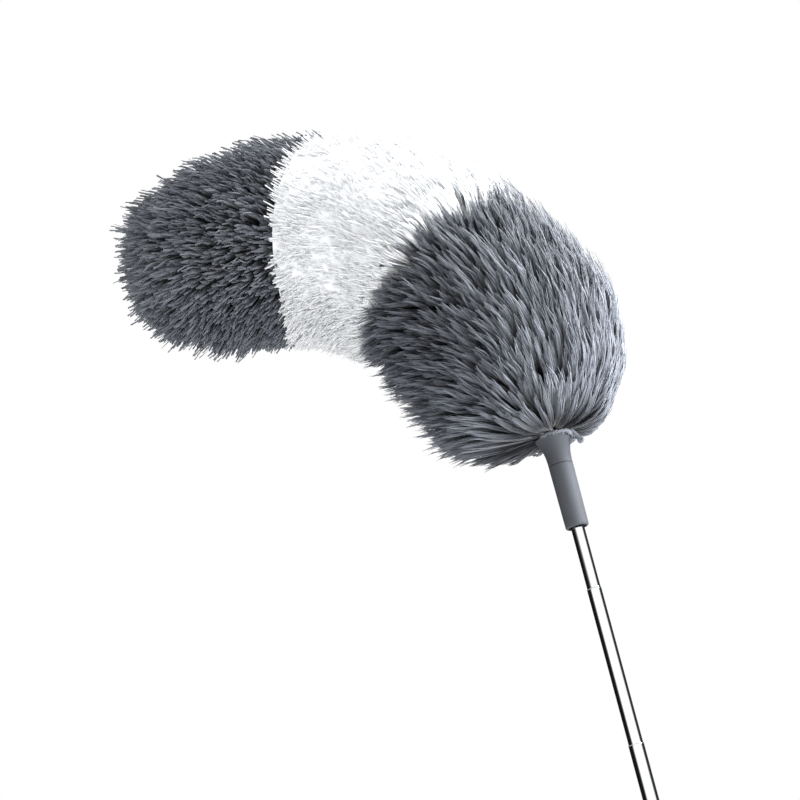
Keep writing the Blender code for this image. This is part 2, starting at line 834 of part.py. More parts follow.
def main():
    clear_scene()
    materials = {
        "steel": surface("polished_steel", (0.72, 0.73, 0.75), 0.12, 1.0),
        "plastic": surface("grey_plastic", (0.095, 0.1, 0.112), 0.5),
        "rubber": surface("soft_grip", (0.045, 0.048, 0.055), 0.75),
        "nylon": surface("white_nylon", (0.75, 0.75, 0.72), 0.5),
        "wire": surface("core_wire", (0.5, 0.5, 0.52), 0.35, 1.0),
        "vinyl": surface("core_vinyl", (0.02, 0.02, 0.022), 0.55),
        "grey": surface("grey_pile", (0.13, 0.145, 0.175), 0.9),
        "white": surface("white_pile", (0.82, 0.85, 0.9), 0.9),
    }
    root = carrier("handle", Vector((0, 0, 0)))
    tip = make_sections(materials, root)
    make_handle(materials, root)
    make_head(materials, tip)


if __name__ == "__main__":
    main()
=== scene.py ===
"""Looks of an extendable duster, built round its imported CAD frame."""
import itertools
import math
import random

import bmesh
import bpy
from mathutils import Matrix, Vector
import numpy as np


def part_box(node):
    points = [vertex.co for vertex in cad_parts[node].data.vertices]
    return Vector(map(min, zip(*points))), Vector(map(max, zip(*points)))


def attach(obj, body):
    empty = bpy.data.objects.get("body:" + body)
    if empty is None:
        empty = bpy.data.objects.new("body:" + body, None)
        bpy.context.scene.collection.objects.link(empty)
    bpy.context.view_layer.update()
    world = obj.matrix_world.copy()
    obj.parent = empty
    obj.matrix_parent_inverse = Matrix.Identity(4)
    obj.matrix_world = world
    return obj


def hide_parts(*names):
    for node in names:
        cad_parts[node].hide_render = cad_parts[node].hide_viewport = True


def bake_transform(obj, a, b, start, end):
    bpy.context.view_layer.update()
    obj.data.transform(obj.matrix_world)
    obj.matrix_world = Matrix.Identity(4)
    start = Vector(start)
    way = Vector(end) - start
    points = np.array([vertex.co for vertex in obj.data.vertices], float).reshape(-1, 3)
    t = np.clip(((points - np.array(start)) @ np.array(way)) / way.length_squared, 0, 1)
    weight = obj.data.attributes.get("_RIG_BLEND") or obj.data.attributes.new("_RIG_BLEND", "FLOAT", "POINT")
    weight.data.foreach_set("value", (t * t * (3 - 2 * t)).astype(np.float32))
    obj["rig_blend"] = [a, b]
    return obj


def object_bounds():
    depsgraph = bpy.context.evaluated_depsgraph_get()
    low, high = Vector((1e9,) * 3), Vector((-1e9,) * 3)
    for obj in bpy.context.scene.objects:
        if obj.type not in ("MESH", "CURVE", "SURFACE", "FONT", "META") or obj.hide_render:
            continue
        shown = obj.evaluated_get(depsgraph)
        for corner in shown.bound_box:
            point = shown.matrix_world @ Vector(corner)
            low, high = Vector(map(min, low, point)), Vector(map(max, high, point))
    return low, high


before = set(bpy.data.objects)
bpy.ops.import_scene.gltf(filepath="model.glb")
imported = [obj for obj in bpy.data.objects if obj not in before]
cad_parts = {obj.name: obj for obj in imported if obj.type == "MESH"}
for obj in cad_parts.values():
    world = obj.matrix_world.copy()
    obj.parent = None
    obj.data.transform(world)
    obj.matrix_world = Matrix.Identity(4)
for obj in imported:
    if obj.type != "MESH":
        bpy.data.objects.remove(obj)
cad_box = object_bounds()

bl_info = {
    "name": "Extendable Duster",
    "version": (1, 0, 0),
    "blender": (4, 5, 0),
    "location": "3D View > Sidebar > Duster",
    "description": "Builds a telescopic duster with a bendable pile head",
    "category": "Add Mesh",
}

# Gaps round parts that are pressed in and round parts that slide
SEAT_GAP = 0.0003
SLIDE_GAP = 0.00005
SECTION_COUNT = 6

# The ferrule's post stands above its rim, and the seam to the sleeve lies below it
POST_RISE = 0.012
RIM_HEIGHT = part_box("head_ferrule")[1].z - POST_RISE
SEAM_HEIGHT = RIM_HEIGHT - 0.022

# Course of the core above the rim: a straight lead, then the lengths between the joints
# with their shares of the bend. The curve for the pile runs on past both ends
CORE_LEAD = 0.013
CORE_LENGTH = 0.36
CORE_BEND = math.radians(90)
LINK_LENGTHS = (0.050, 0.050, 0.050, 0.055, 0.055, 0.100)
LINK_BEND_SHARES = (0.135, 0.166, 0.156, 0.168, 0.168, 0.207)
CORE_OVERRUN = 0.08
PILE_START = 0.003
RING_PITCH = 0.004

# How far the stretch that turns may tilt, in degrees, and the least it may take up
BEND_TILT = 60
BEND_TILT_STEP = 3
BEND_LEAST = 0.026

# Where the white band starts and ends along the core. Both edges lie closer to the rim on
# the outside of the bend, and the second one bulges forward at the sides
WHITE_START = 0.1535
WHITE_LEAN = 0.0205
WHITE_END = 0.253
WHITE_END_LEAN = 0.007
WHITE_END_BULGE = 0.013
WHITE_BAND = {
    "White start": WHITE_START,
    "White lean": WHITE_LEAN,
    "White end": WHITE_END,
    "White end lean": WHITE_END_LEAN,
    "White end bulge": WHITE_END_BULGE,
}


def number_property(name, description, default, **more):
    return bpy.props.FloatProperty(name=name, description=description, default=default, **more)


def length_property(name, description, default):
    return number_property(
        name, description, default, min=0, precision=5, subtype="DISTANCE", unit="LENGTH"
    )


def share_property(name, description, default):
    return number_property(name, description, default, min=0, subtype="FACTOR")


def angle_property(name, description, degrees):
    return number_property(name, description, math.radians(degrees), subtype="ANGLE")


def light_property(name, description, watts):
    return number_property(name, description, watts, min=0, unit="POWER")


def count_property(name, description, default, least=0):
    return bpy.props.IntProperty(name=name, description=description, default=default, min=least)


def colour_property(name, description, default):
    return bpy.props.FloatVectorProperty(
        name=name, description=description, default=default, subtype="COLOR", size=3, min=0, max=1
    )


class DusterPole(bpy.types.PropertyGroup):
    """Sizes and finish of the telescopic tubes."""

    sides: count_property("Sides", "Facets round each tube", 96, 12)
    wall: length_property("Wall", "Thickness of the drawn tube", 0.0002)
    lip_length: length_property("Lip length", "Height of the rolled-in upper lip", 0.002)
    lip_round: length_property("Lip round", "Radius of the lip's outer edge", 0.00028)
    groove_drop: length_property("Groove drop", "From the lip down to its groove", 0.0009)
    groove_width: length_property("Groove width", "Width of the rolled groove", 0.0004)
    groove_depth: length_property("Groove depth", "Depth of the rolled groove", 0.00014)
    steel: colour_property("Steel", "Colour of the polished steel", (0.74, 0.75, 0.77))
    roughness: share_property("Roughness", "Roughness of the polished steel", 0.03)


class DusterCollar(bpy.types.PropertyGroup):
    """Sizes and finish of the sleeve and the ferrule."""

    sides: count_property("Sides", "Facets round the collar", 96, 12)
    seam_radius: length_property("Seam radius", "Radius where the two parts meet", 0.0092)
    foot_radius: length_property("Foot radius", "Radius at the sleeve's foot", 0.00875)
    lip: length_property("Lip", "Radius of the sleeve's rounded foot", 0.0015)
    recess_radius: length_property("Recess radius", "Radius of the recess in the foot", 0.007)
    recess_depth: length_property("Recess depth", "Depth of the recess in the foot", 0.003)
    rim_radius: length_property("Rim radius", "Radius of the flared rim", 0.0146)
    wall: length_property("Wall", "Wall of the flared cup", 0.0017)
    flare: number_property("Flare", "How late the cup opens out", 2.6, min=1)
    plastic: colour_property("Plastic", "Colour of the moulded plastic", (0.058, 0.063, 0.073))
    roughness: share_property("Roughness", "Roughness of the moulded plastic", 0.56)


class DusterHandle(bpy.types.PropertyGroup):
    """Sizes and finish of the hand grip."""

    sides: count_property("Sides", "Facets round the handle", 96, 12)
    end_radius: length_property("End radius", "Radius of the grip at its ends", 0.0132)
    swell: length_property("Swell", "How much the grip swells at its middle", 0.0012)
    groove_count: count_property("Grooves", "Grooves across the grip", 9, 2)
    groove_depth: length_property("Groove depth", "Depth of a groove", 0.001)
    groove_width: length_property("Groove width", "Width of a groove", 0.0036)
    groove_margin: length_property("Groove margin", "Plain length at each end", 0.012)
    rubber: colour_property("Rubber", "Colour of the soft grip", (0.045, 0.048, 0.055))
    roughness: share_property("Roughness", "Roughness of the soft grip", 0.72)


class DusterPile(bpy.types.PropertyGroup):
    """Sizes and colours of the pile."""

    radius: length_property("Pile radius", "Reach of the longest tufts from the core", 0.090)
    density: share_property("Density", "How close the locks stand", 1.0)
    seed: count_property("Seed", "Seed of the pile", 7)
    grey: colour_property("Grey", "Colour of the grey tufts", (0.166, 0.180, 0.210))
    # Painted shade at the roots of the grey tufts, deep in the pile where they stand close
    grey_root_painted_shade: colour_property("Grey root", "Colour at the grey roots", (0.022, 0.025, 0.032))
    white: colour_property("White", "Colour of the white tufts", (0.955, 0.97, 0.99))
    # Painted shade at the roots of the white tufts, faint
    white_root_painted_shade: colour_property("White root", "Colour at the white roots", (0.95, 0.965, 0.985))


class DusterStudio(bpy.types.PropertyGroup):
    """Camera, lights and floor."""

    elevation: angle_property("Elevation", "How far the camera looks up", 16)
    roll: angle_property("Roll", "How far the camera is rolled", 15)
    distance: length_property("Distance", "From the camera to the ferrule's rim", 1.7)
    lens: number_property("Lens", "Focal length of the camera", 102.5, unit="CAMERA")
    key: light_property("Key", "Key light", 26)
    shine: light_property("Shine", "High side light", 20)
    fill: light_property("Fill", "Fill light", 4)
    top: light_property("Top", "Top light", 1.0)
    low: light_property("Low", "Low light", 1.7)
    bright_side: number_property("Bright side", "Surrounding light, bright side", 1.30)
    dark_side: number_property("Dark side", "Surrounding light, dark side", 0.68)
    floor: colour_property("Floor", "Colour of the floor", (0.62, 0.62, 0.62))


# Node graphs


class Value:
    """Output of a node that can be reckoned with, as a number or as a vector."""

    def __init__(self, graph, socket):
        self.graph, self.socket = graph, socket
        self.is_vector = socket.type in ("VECTOR", "RGBA")

    def reckon(self, operation, *values):
        kind = "ShaderNodeVectorMath" if self.is_vector else "ShaderNodeMath"
        return self.graph.add(kind, *values, operation=operation)

    def __add__(self, other):
        return self.reckon("ADD", self, other)

    def __sub__(self, other):
        return self.reckon("SUBTRACT", self, other)

    def __rsub__(self, other):
        return self.reckon("SUBTRACT", other, self)

    def __mul__(self, other):
        if self.is_vector:
            return self.graph.scaled(self, other)
        return self.reckon("MULTIPLY", self, other)

    def __truediv__(self, other):
        return self.reckon("DIVIDE", self, other)

    def __gt__(self, other):
        return self.reckon("GREATER_THAN", self, other)

    def __lt__(self, other):
        return self.reckon("LESS_THAN", self, other)

    __radd__ = __add__


class Graph:
    """Adds nodes to one tree and wires them."""

    def __init__(self, tree):
        self.tree = tree

    def feed(self, socket, value):
        if isinstance(value, Value):
            self.tree.links.new(value.socket, socket)
        else:
            socket.default_value = value

    def node(self, kind, *values, named=None, **settings):
        """Adds a node; inputs are fed in order, then by name or number."""
        node = self.tree.nodes.new(kind)
        for name, value in settings.items():
            setattr(node, name, value)
        for socket, value in zip(node.inputs, values):
            self.feed(socket, value)
        for key, value in (named or {}).items():
            if isinstance(key, str):
                socket = next(s for s in node.inputs if s.name == key and s.enabled)
            else:
                socket = node.inputs[key]
            self.feed(socket, value)
        return node

    def add(self, kind, *values, out=0, **more):
        """Adds a node and returns one of its outputs."""
        return Value(self, self.node(kind, *values, **more).outputs[out])

    def math(self, operation, *values):
        return self.add("ShaderNodeMath", *values, operation=operation)

    def vector(self, operation, *values, out=0):
        return self.add("ShaderNodeVectorMath", *values, operation=operation, out=out)

    def scaled(self, vector, factor):
        node = self.node("ShaderNodeVectorMath", vector, operation="SCALE")
        self.feed(node.inputs["Scale"], factor)
        return Value(self, node.outputs[0])

    def combine(self, x, y, z):
        return self.add("ShaderNodeCombineXYZ", x, y, z)

    def parts(self, vector):
        node = self.node("ShaderNodeSeparateXYZ", vector)
        return [Value(self, output) for output in node.outputs]

    def grey(self, tone):
        return self.add("ShaderNodeCombineColor", tone, tone, tone)

    def remap(self, value, low, high, to_low, to_high):
        return self.add("ShaderNodeMapRange", value, low, high, to_low, to_high)

    def table(self, value, points):
        """Reads a value from a table of points, straight between them."""
        node = self.node("ShaderNodeFloatCurve", named={"Value": value})
        node.mapping.use_clip = False
        curve = node.mapping.curves[0]
        while len(curve.points) < len(points):
            curve.points.new(0.5, 0.5)
        for point, place in zip(curve.points, points):
            point.location = place
            point.handle_type = "VECTOR"
        node.mapping.update()
        return Value(self, node.outputs[0])

    def ramp(self, value, stops):
        """Colour ramp; each stop is a place and a colour."""
        node = self.node("ShaderNodeValToRGB", value)
        elements = node.color_ramp.elements
        while len(elements) < len(stops):
            elements.new(0.5)
        for element, (place, colour) in zip(elements, stops):
            element.position = place
            element.color = (*colour, 1)
        return Value(self, node.outputs[0])

    def mixed(self, factor, first, second, blend_type="MIX"):
        first, second = (c if isinstance(c, Value) else (*c, 1) for c in (first, second))
        named = {0: factor, 6: first, 7: second}
        return self.add(
            "ShaderNodeMix", named=named, data_type="RGBA", blend_type=blend_type, out=2
        )

    def noise(self, vector, scale, detail, out=0):
        named = {"Vector": vector, "Scale": scale, "Detail": detail}
        return self.add("ShaderNodeTexNoise", named=named, out=out)


class Finish(Graph):
    """Graph of a new material, laid over the piece's own coordinates."""

    def __init__(self, name, roughness, metallic=0.0):
        self.material = bpy.data.materials.new(name)
        self.material.use_nodes = True
        super().__init__(self.material.node_tree)
        self.set({"Roughness": roughness, "Metallic": metallic})
        self.place = self.add("ShaderNodeTexCoord", out="Object")

    def set(self, inputs):
        for name, value in inputs.items():
            self.feed(self.tree.nodes["Principled BSDF"].inputs[name], value)

    def bump(self, height, strength, distance):
        named = {"Strength": strength, "Distance": distance, "Height": height}
        self.set({"Normal": self.add("ShaderNodeBump", named=named)})


def shaded(colour, factor):
    return tuple(factor * part for part in colour)


def steel_material(name, colour, roughness):
    """Drawn steel: faint lines along the tube and slight smears."""
    finish = Finish(name, roughness, metallic=1.0)
    smear = finish.noise(finish.place, 35, 3)
    drawn_out = finish.vector("MULTIPLY", finish.place, (1, 1, 0.02))
    finish.set({
        "Base Color": finish.mixed(smear, shaded(colour, 0.93), colour),
        "Roughness": finish.remap(smear, 0.3, 0.7, roughness, roughness * 1.8),
    })
    finish.bump(finish.noise(drawn_out, 4000, 2), 0.04, 0.00002)
    return finish.material


def plastic_material(name, colour, roughness, grain=9000, depth=0.00003, sheen=0.0):
    """Moulded plastic with a fine spark grain."""
    finish = Finish(name, roughness)
    cloud = finish.noise(finish.place, 60, 3)
    finish.set({
        "Base Color": finish.mixed(cloud, shaded(colour, 0.88), shaded(colour, 1.10)),
        "Roughness": finish.remap(cloud, 0.3, 0.7, roughness * 0.9, roughness * 1.12),
        "Specular IOR Level": 0.4,
        "Sheen Weight": sheen,
        "Sheen Roughness": 0.5,
    })
    finish.bump(finish.noise(finish.place, grain, 1), 0.25, depth)
    return finish.material


def cloth_material(name, colour):
    """Plain-woven backing cloth."""
    finish = Finish(name, 0.9)
    weave = finish.add(
        "ShaderNodeTexWave",
        named={"Vector": finish.place, "Scale": 900.0, "Distortion": 1.5, "Detail": 1.0},
        bands_direction="DIAGONAL",
        out=1,
    )
    finish.set({
        "Base Color": finish.mixed(weave, shaded(colour, 0.6), colour),
        "Sheen Weight": 0.2,
    })
    finish.bump(weave, 0.5, 0.0002)
    return finish.material


def pile_material(name, colour, root, play, foot_painted_light=1.0):
    """Microfibre with painted shade: darkest at the roots, where the tufts stand close and shade falls,
    paler towards their ends.
    """
    finish = Finish(name, 0.62)
    rise, shade, along = (
        finish.add("ShaderNodeAttribute", attribute_name=key, out="Fac")
        for key in ("rise", "shade", "along")
    )
    # Painted shade: the ramp darkens each strand from its end down to its root, by how deep it lies in the
    # pile. Near the foot the ramp is lifted, so the painted shade there is lighter.
    middle = tuple(0.45 * a + 0.55 * b for a, b in zip(root, colour))
    stops = [(0.0, root), (0.45, root), (0.72, middle), (0.93, colour), (1.0, colour)]
    body = finish.ramp(rise + finish.remap(along, 0.03, 0.16, 0.14, 0.0), stops)
    fleck, cloud = (finish.noise(finish.place, scale, 2) for scale in (900, 28))
    tone = shade * 0.75 + fleck * 0.2 + cloud * 0.4
    # Painted light: the tufts at the foot, where the light from the right falls, are painted paler by this
    # gain.
    tone = (tone * play + (1.0 - play)) * finish.remap(along, 0.22, 0.45, foot_painted_light, 1.0)
    finish.set({
        "Base Color": finish.mixed(1.0, body, finish.grey(tone), "MULTIPLY"),
        "Sheen Weight": 0.25,
        "Sheen Roughness": 0.4,
        "Specular IOR Level": 0.3,
    })
    return finish.material


# Mesh tools


def link_object(name, data):
    item = bpy.data.objects.new(name, data)
    bpy.context.scene.collection.objects.link(item)
    return item


def smooth(mesh, angle):
    """Shades a mesh smooth, with edges over an angle in degrees kept sharp."""
    for face in mesh.polygons:
        face.use_smooth = True
    mesh.set_sharp_from_angle(angle=math.radians(angle))


def mesh_object(name, bm, material, smooth_angle=35):
    mesh = bpy.data.meshes.new(name)
    bm.to_mesh(mesh)
    bm.free()
    smooth(mesh, smooth_angle)
    mesh.materials.append(material)
    return link_object(name, mesh)


def rounded(corners, steps):
    """Points of a closed outline of corners (radius, height, rounding where it has one)."""
    points = []
    for index, corner in enumerate(corners):
        here = Vector(corner[:2])
        if len(corner) == 2:
            points.append(here)
            continue
        before = (Vector(corners[index - 1][:2]) - here).normalized()
        after = (Vector(corners[(index + 1) % len(corners)][:2]) - here).normalized()
        half = before.angle(after) / 2
        centre = here + (before + after).normalized() * (corner[2] / math.sin(half))
        start = here + before * (corner[2] / math.tan(half)) - centre
        end = here + after * (corner[2] / math.tan(half)) - centre
        sweep = start.angle_signed(end)
        for step in range(steps + 1):
            points.append(centre + Matrix.Rotation(-sweep * step / steps, 2) @ start)
    return points


def face_outward(bm):
    """Turns the faces of a closed body outward."""
    bmesh.ops.recalc_face_normals(bm, faces=bm.faces)
    if bm.calc_volume(signed=True) < 0:
        bmesh.ops.reverse_faces(bm, faces=bm.faces)


def turned(points, sides):
    """Closed body turned about Z from a closed outline of (radius, height) points."""
    bm = bmesh.new()
    angles = [math.tau * side / sides for side in range(sides)]
    rings = []
    for radius, height in points:
        on_axis = radius < 1e-7
        rings.append([
            bm.verts.new((radius * math.cos(a), radius * math.sin(a), height))
            for a in (angles[:1] if on_axis else angles)
        ])
    for ring, after in zip(rings, rings[1:] + rings[:1]):
        if len(ring) == 1 and len(after) == 1:
            continue
        for near in range(sides):
            far = (near + 1) % sides
            corners = [ring[near % len(ring)], ring[far % len(ring)]]
            corners += [after[far % len(after)], after[near % len(after)]]
            bm.faces.new(list(dict.fromkeys(corners)))
    face_outward(bm)
    return bm


def skin(bm, rings):
    """Closes rings of points into one strand."""
    bm.faces.new(rings[0][::-1])
    for before, ring in zip(rings, rings[1:]):
        for side in range(len(ring)):
            after = (side + 1) % len(ring)
            bm.faces.new((before[side], before[after], ring[after], ring[side]))
    bm.faces.new(rings[-1])


def settle(piece, body, node):
    """Hangs a rigid piece on its body in place of a CAD node."""
    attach(piece, body)
    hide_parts(node)


def turned_part(node, finish, body, slot, material, corners, sides, steps=5):
    """Rigid piece turned from rounded corners."""
    piece = mesh_object(f"{node}_{finish}", turned(rounded(corners, steps), sides), material)
    settle(piece, body, node)


def finished(piece):
    """Bakes a piece's modifiers into its mesh."""
    graph = bpy.context.evaluated_depsgraph_get()
    mesh = bpy.data.meshes.new_from_object(piece.evaluated_get(graph))
    piece.modifiers.clear()
    piece.data = mesh


def set_values(piece, **values):
    """Gives every point of a piece the same values of the pile's attributes."""
    for name, value in values.items():
        stored = piece.data.attributes.new(name, "FLOAT", "POINT")
        stored.data.foreach_set("value", [value] * len(piece.data.vertices))


# Course of the core


def core_place(distance):
    """Centre of the core at a distance above the rim, and its lean towards -X."""
    turns = [CORE_BEND * share / sum(LINK_BEND_SHARES) for share in LINK_BEND_SHARES]
    runs = [(CORE_LEAD, 0), (LINK_LENGTHS[0] - CORE_LEAD, turns[0])]
    runs += list(zip(LINK_LENGTHS[1:], turns[1:]))
    centre, lean, left = Vector((0, 0, RIM_HEIGHT)), 0, distance
    for length, turn in runs:
        run = min(left, length)
        if run <= 0:
            break
        half = turn * run / length / 2
        chord = run * math.sin(half) / half if half else run
        centre += chord * Vector((-math.sin(lean + half), 0, math.cos(lean + half)))
        lean += 2 * half
        left -= run
    return centre + left * Vector((-math.sin(lean), 0, math.cos(lean))), lean


def beside_core(distance, out=0.0, across=0.0):
    """Point beside the core: out towards the outside of the bend, and across it."""
    centre, lean = core_place(distance)
    return centre + out * Vector((math.cos(lean), 0, math.sin(lean))) + Vector((0, across, 0))


def lay(bm):
    """Lays a body turned about Z along the core."""
    for vert in bm.verts:
        vert.co = beside_core(vert.co.z, vert.co.x, vert.co.y)
    face_outward(bm)


def joint_spans():
    """For each bend, the number of the length past it and the stretch of core that turns."""
    starts = [sum(LINK_LENGTHS[:count]) for count in range(len(LINK_LENGTHS) + 1)]
    middles = [(a + b) / 2 for a, b in zip(starts, starts[1:])]
    return list(zip(range(2, len(middles) + 1), middles, middles[1:]))


def joint_runs(first, last):
    """Lengths of a soft part from first to last, parted where its joints' stretches meet."""
    edges = (first, *[end for _, _, end in joint_spans()[:-1]], last)
    return [(span[0], *run) for span, run in zip(joint_spans(), zip(edges, edges[1:]))]


def spaced(start, end):
    """Places from start to end along the core, about RING_PITCH apart."""
    steps = max(round((end - start) / RING_PITCH), 3)
    return [start + (end - start) * step / steps for step in range(steps + 1)]


def read(table, place, column):
    """A column of a table at a place, straight between its rows."""
    place = max(place, table[0][0])
    for low, high in zip(table, table[1:]):
        if place <= high[0]:
            part = (place - low[0]) / (high[0] - low[0])
            return low[column] + (high[column] - low[column]) * part
    return table[-1][column]


def pile_share(distance):
    """Share of the pile's length at a distance along the core."""
    return (distance - PILE_START) / (CORE_LENGTH - PILE_START)


def tuft_course(root, reach):
    """How far ahead and out a tuft ends, and how far ahead and out its knee is."""
    return [read(TUFT_COURSES, pile_share(root), column) * reach for column in (1, 2, 3, 4)]


def tuft_points(root, reach, side):
    """Course of a tuft on the outside (1) or the inside (-1) of the bend."""
    ahead, out, knee_ahead, knee_out = tuft_course(root, reach)
    points = []
    for step in range(TUFT_STEPS + 1):
        rise = step / TUFT_STEPS
        weights = (1 - rise) ** 2, 2 * rise * (1 - rise), rise**2
        distance = root + weights[1] * knee_ahead + weights[2] * ahead
        radius = weights[0] * BACKING_RADIUS + weights[1] * knee_out + weights[2] * out
        points.append(beside_core(distance, side * radius))
    return points


def bend_with(piece, slot, link, first=(), last=()):
    """Lets a soft piece turn between two lengths of the core.

    The points first and last lie where the piece meets its neighbours. The turn takes up the
    widest stretch that leaves them still, so that the pieces stay joined."""
    low, high = (beside_core(end) for end in joint_spans()[link - 2][1:])
    spans = []
    for tilt in range(-BEND_TILT, BEND_TILT + 1, BEND_TILT_STEP):
        axis = Matrix.Rotation(math.radians(tilt), 3, "Y") @ (high - low).normalized()
        start = max(axis.dot(point) for point in first or [low])
        end = min(axis.dot(point) for point in last or [high])
        spans.append((end - start, low + axis * (start - axis.dot(low)), axis))
    width, start, axis = max(spans, key=lambda span: span[0])
    spare = max(BEND_LEAST - width, 0)
    start, width = start - axis * spare / 2, width + spare
    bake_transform(piece, f"head_{link - 1}", f"head_{link}", start=start, end=start + axis * width)


# Operators


# Where the frame's middle lies from the rim, across and up the picture, in metres
FRAME_AIM = (-0.1145, 0.0283)


class DUSTER_OT_camera(bpy.types.Operator):
    """Adds the camera at the photograph's viewing angle"""

    bl_idname = "duster.camera"
    bl_label = "Camera"

    def execute(self, context):
        studio = context.scene.duster_studio
        tilt, roll = studio.elevation, studio.roll
        forward = Vector((0, math.cos(tilt), math.sin(tilt)))
        upright = Vector((0, -math.sin(tilt), math.cos(tilt)))
        level = Vector((1, 0, 0))
        right = math.cos(roll) * level - math.sin(roll) * upright
        up = math.sin(roll) * level + math.cos(roll) * upright
        aim = studio.distance * forward + FRAME_AIM[0] * right + FRAME_AIM[1] * up
        back = -aim.normalized()
        up = (up - up.dot(back) * back).normalized()
        camera = link_object("camera", bpy.data.cameras.new("camera"))
        camera.data.lens = studio.lens
        camera.data.sensor_width = 36
        turn = Matrix((up.cross(back), up, back)).transposed()
        place = Vector((0, 0, RIM_HEIGHT)) - studio.distance * forward
        camera.matrix_world = Matrix.Translation(place) @ turn.to_4x4()
        context.scene.camera = camera
        return {"FINISHED"}


class DUSTER_OT_pole(bpy.types.Operator):
    """Builds the base tube and the six sliding tubes"""

    bl_idname = "duster.pole"
    bl_label = "Pole tubes"

    def lip(self, pole, section, outer, top):
        """Corners of the groove and of the lip rolled in round the next section."""
        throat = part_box(f"section_tube_{section - 1}")[1].x + SLIDE_GAP
        under = top - pole.lip_length
        groove = top - pole.groove_drop
        return [
            (outer, groove - pole.groove_width),
            (outer, groove - pole.groove_width / 2),
            (outer - pole.groove_depth, groove),
            (outer, groove + pole.groove_width / 2),
            (outer, top, pole.lip_round),
            (throat, top, pole.wall / 3),
            (throat, under),
            (outer - pole.wall, under - pole.lip_length),
        ]

    def execute(self, context):
        pole = context.scene.duster_pole
        steel = steel_material("polished steel tube", pole.steel, pole.roughness)
        for section in range(SECTION_COUNT + 1, 0, -1):
            is_base = section == SECTION_COUNT + 1
            node = "base_tube" if is_base else f"section_tube_{section}"
            body = "handle" if is_base else f"section_{section}"
            low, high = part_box(node)
            bore = high.x - pole.wall
            corners = [
                (bore, low.z),
                (high.x, low.z, pole.wall / 2),
                (high.x, low.z + 2 * pole.wall),
            ]
            if section > 1:
                corners += self.lip(pole, section, high.x, high.z)
            else:
                corners += [(high.x, high.z, pole.wall / 2), (bore, high.z)]
            turned_part(node, "drawn", body, "polished_steel", steel, corners, pole.sides)
        return {"FINISHED"}


# The sleeve's thread, how deep it lies over the pole's end, and the round of the seam's edges
THREAD_RADIUS = 0.006
SLEEVE_WEB = 0.0045
SEAM_EDGE = 0.00035
# Inside the ferrule: the thread's bore, the cup, the post with its socket, and the web
FERRULE_BORE = 0.0063
CUP_DEPTH = 0.008
POST_RADIUS = 0.007
SOCKET_RADIUS = 0.0043
WEB_DROP = 0.004
WEB_THICKNESS = 0.003
RIM_EDGE = 0.0007
FLARE_STEPS = 20


class DUSTER_OT_collar(bpy.types.Operator):
    """Builds the pole's sleeve and the flared ferrule"""

    bl_idname = "duster.collar"
    bl_label = "Collar"

    def sleeve(self, collar, plastic):
        low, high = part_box("pole_sleeve")
        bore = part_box("section_tube_1")[1].x + SEAT_GAP
        top = SEAM_HEIGHT - SEAT_GAP / 2
        floor = SEAM_HEIGHT - SLEEVE_WEB
        corners = [
            (0, high.z),
            (THREAD_RADIUS, high.z, 0.0006),
            (THREAD_RADIUS, top),
            (collar.seam_radius, top, SEAM_EDGE),
            (collar.seam_radius, top - 0.0006),
            (collar.foot_radius, low.z + 1.3 * collar.lip),
            (collar.foot_radius, low.z, collar.lip),
            (collar.recess_radius, low.z, 0.0002),
            (collar.recess_radius, low.z + collar.recess_depth),
            (bore, low.z + collar.recess_depth),
            (bore, floor),
            (0, floor),
        ]
        place = ("pole_sleeve", "moulded", "section_1", "grey_plastic")
        turned_part(*place, plastic, corners, collar.sides, 8)

    def ferrule(self, collar, plastic):
        low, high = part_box("head_ferrule")
        growth = collar.rim_radius - collar.seam_radius
        cup_floor = RIM_HEIGHT - CUP_DEPTH
        web_top = RIM_HEIGHT - WEB_DROP

        def flare(height):
            rise = (height - SEAM_HEIGHT) / (RIM_HEIGHT - SEAM_HEIGHT)
            return collar.seam_radius + growth * rise**collar.flare

        corners = [(FERRULE_BORE, low.z), (collar.seam_radius, low.z, SEAM_EDGE)]
        for step in range(1, FLARE_STEPS):
            height = low.z + (RIM_HEIGHT - low.z) * step / FLARE_STEPS
            corners.append((flare(height), height))
        corners.append((collar.rim_radius, RIM_HEIGHT, RIM_EDGE))
        corners.append((collar.rim_radius - collar.wall, RIM_HEIGHT, RIM_EDGE))
        for step in range(1, FLARE_STEPS // 2 + 1):
            height = RIM_HEIGHT - CUP_DEPTH * step / (FLARE_STEPS // 2)
            corners.append((flare(height) - collar.wall, height))
        corners += [
            (POST_RADIUS, cup_floor),
            (POST_RADIUS, high.z, 0.0008),
            (SOCKET_RADIUS, high.z),
            (SOCKET_RADIUS, web_top),
            (0, web_top),
            (0, web_top - WEB_THICKNESS),
            (FERRULE_BORE, web_top - WEB_THICKNESS),
        ]
        place = ("head_ferrule", "moulded", "head_1", "grey_plastic")
        turned_part(*place, plastic, corners, collar.sides, 6)

    def execute(self, context):
        collar = context.scene.duster_collar
        plastic = plastic_material("moulded collar", collar.plastic, collar.roughness)
        self.sleeve(collar, plastic)
        self.ferrule(collar, plastic)
        return {"FINISHED"}


# The grip's rings and the round of its ends
GRIP_STEPS = 260
GRIP_EDGE = 0.0006
# The front ring's shoulder and its round, and the wall round the base tube
RING_SHOULDER = 0.006
RING_ROUND = 0.004
RING_WALL = 0.0015
# The end cap's flange, and the plate with the eye: radius, thickness, hole, how far it
# stands in the flange, and the round of its edges
CAP_HEIGHT = 0.008
EYE_RADIUS = 0.011
EYE_THICKNESS = 0.007
EYE_HOLE = 0.005
EYE_ROOT = 0.003
EYE_EDGE = 0.0009
EYE_STEPS = 48


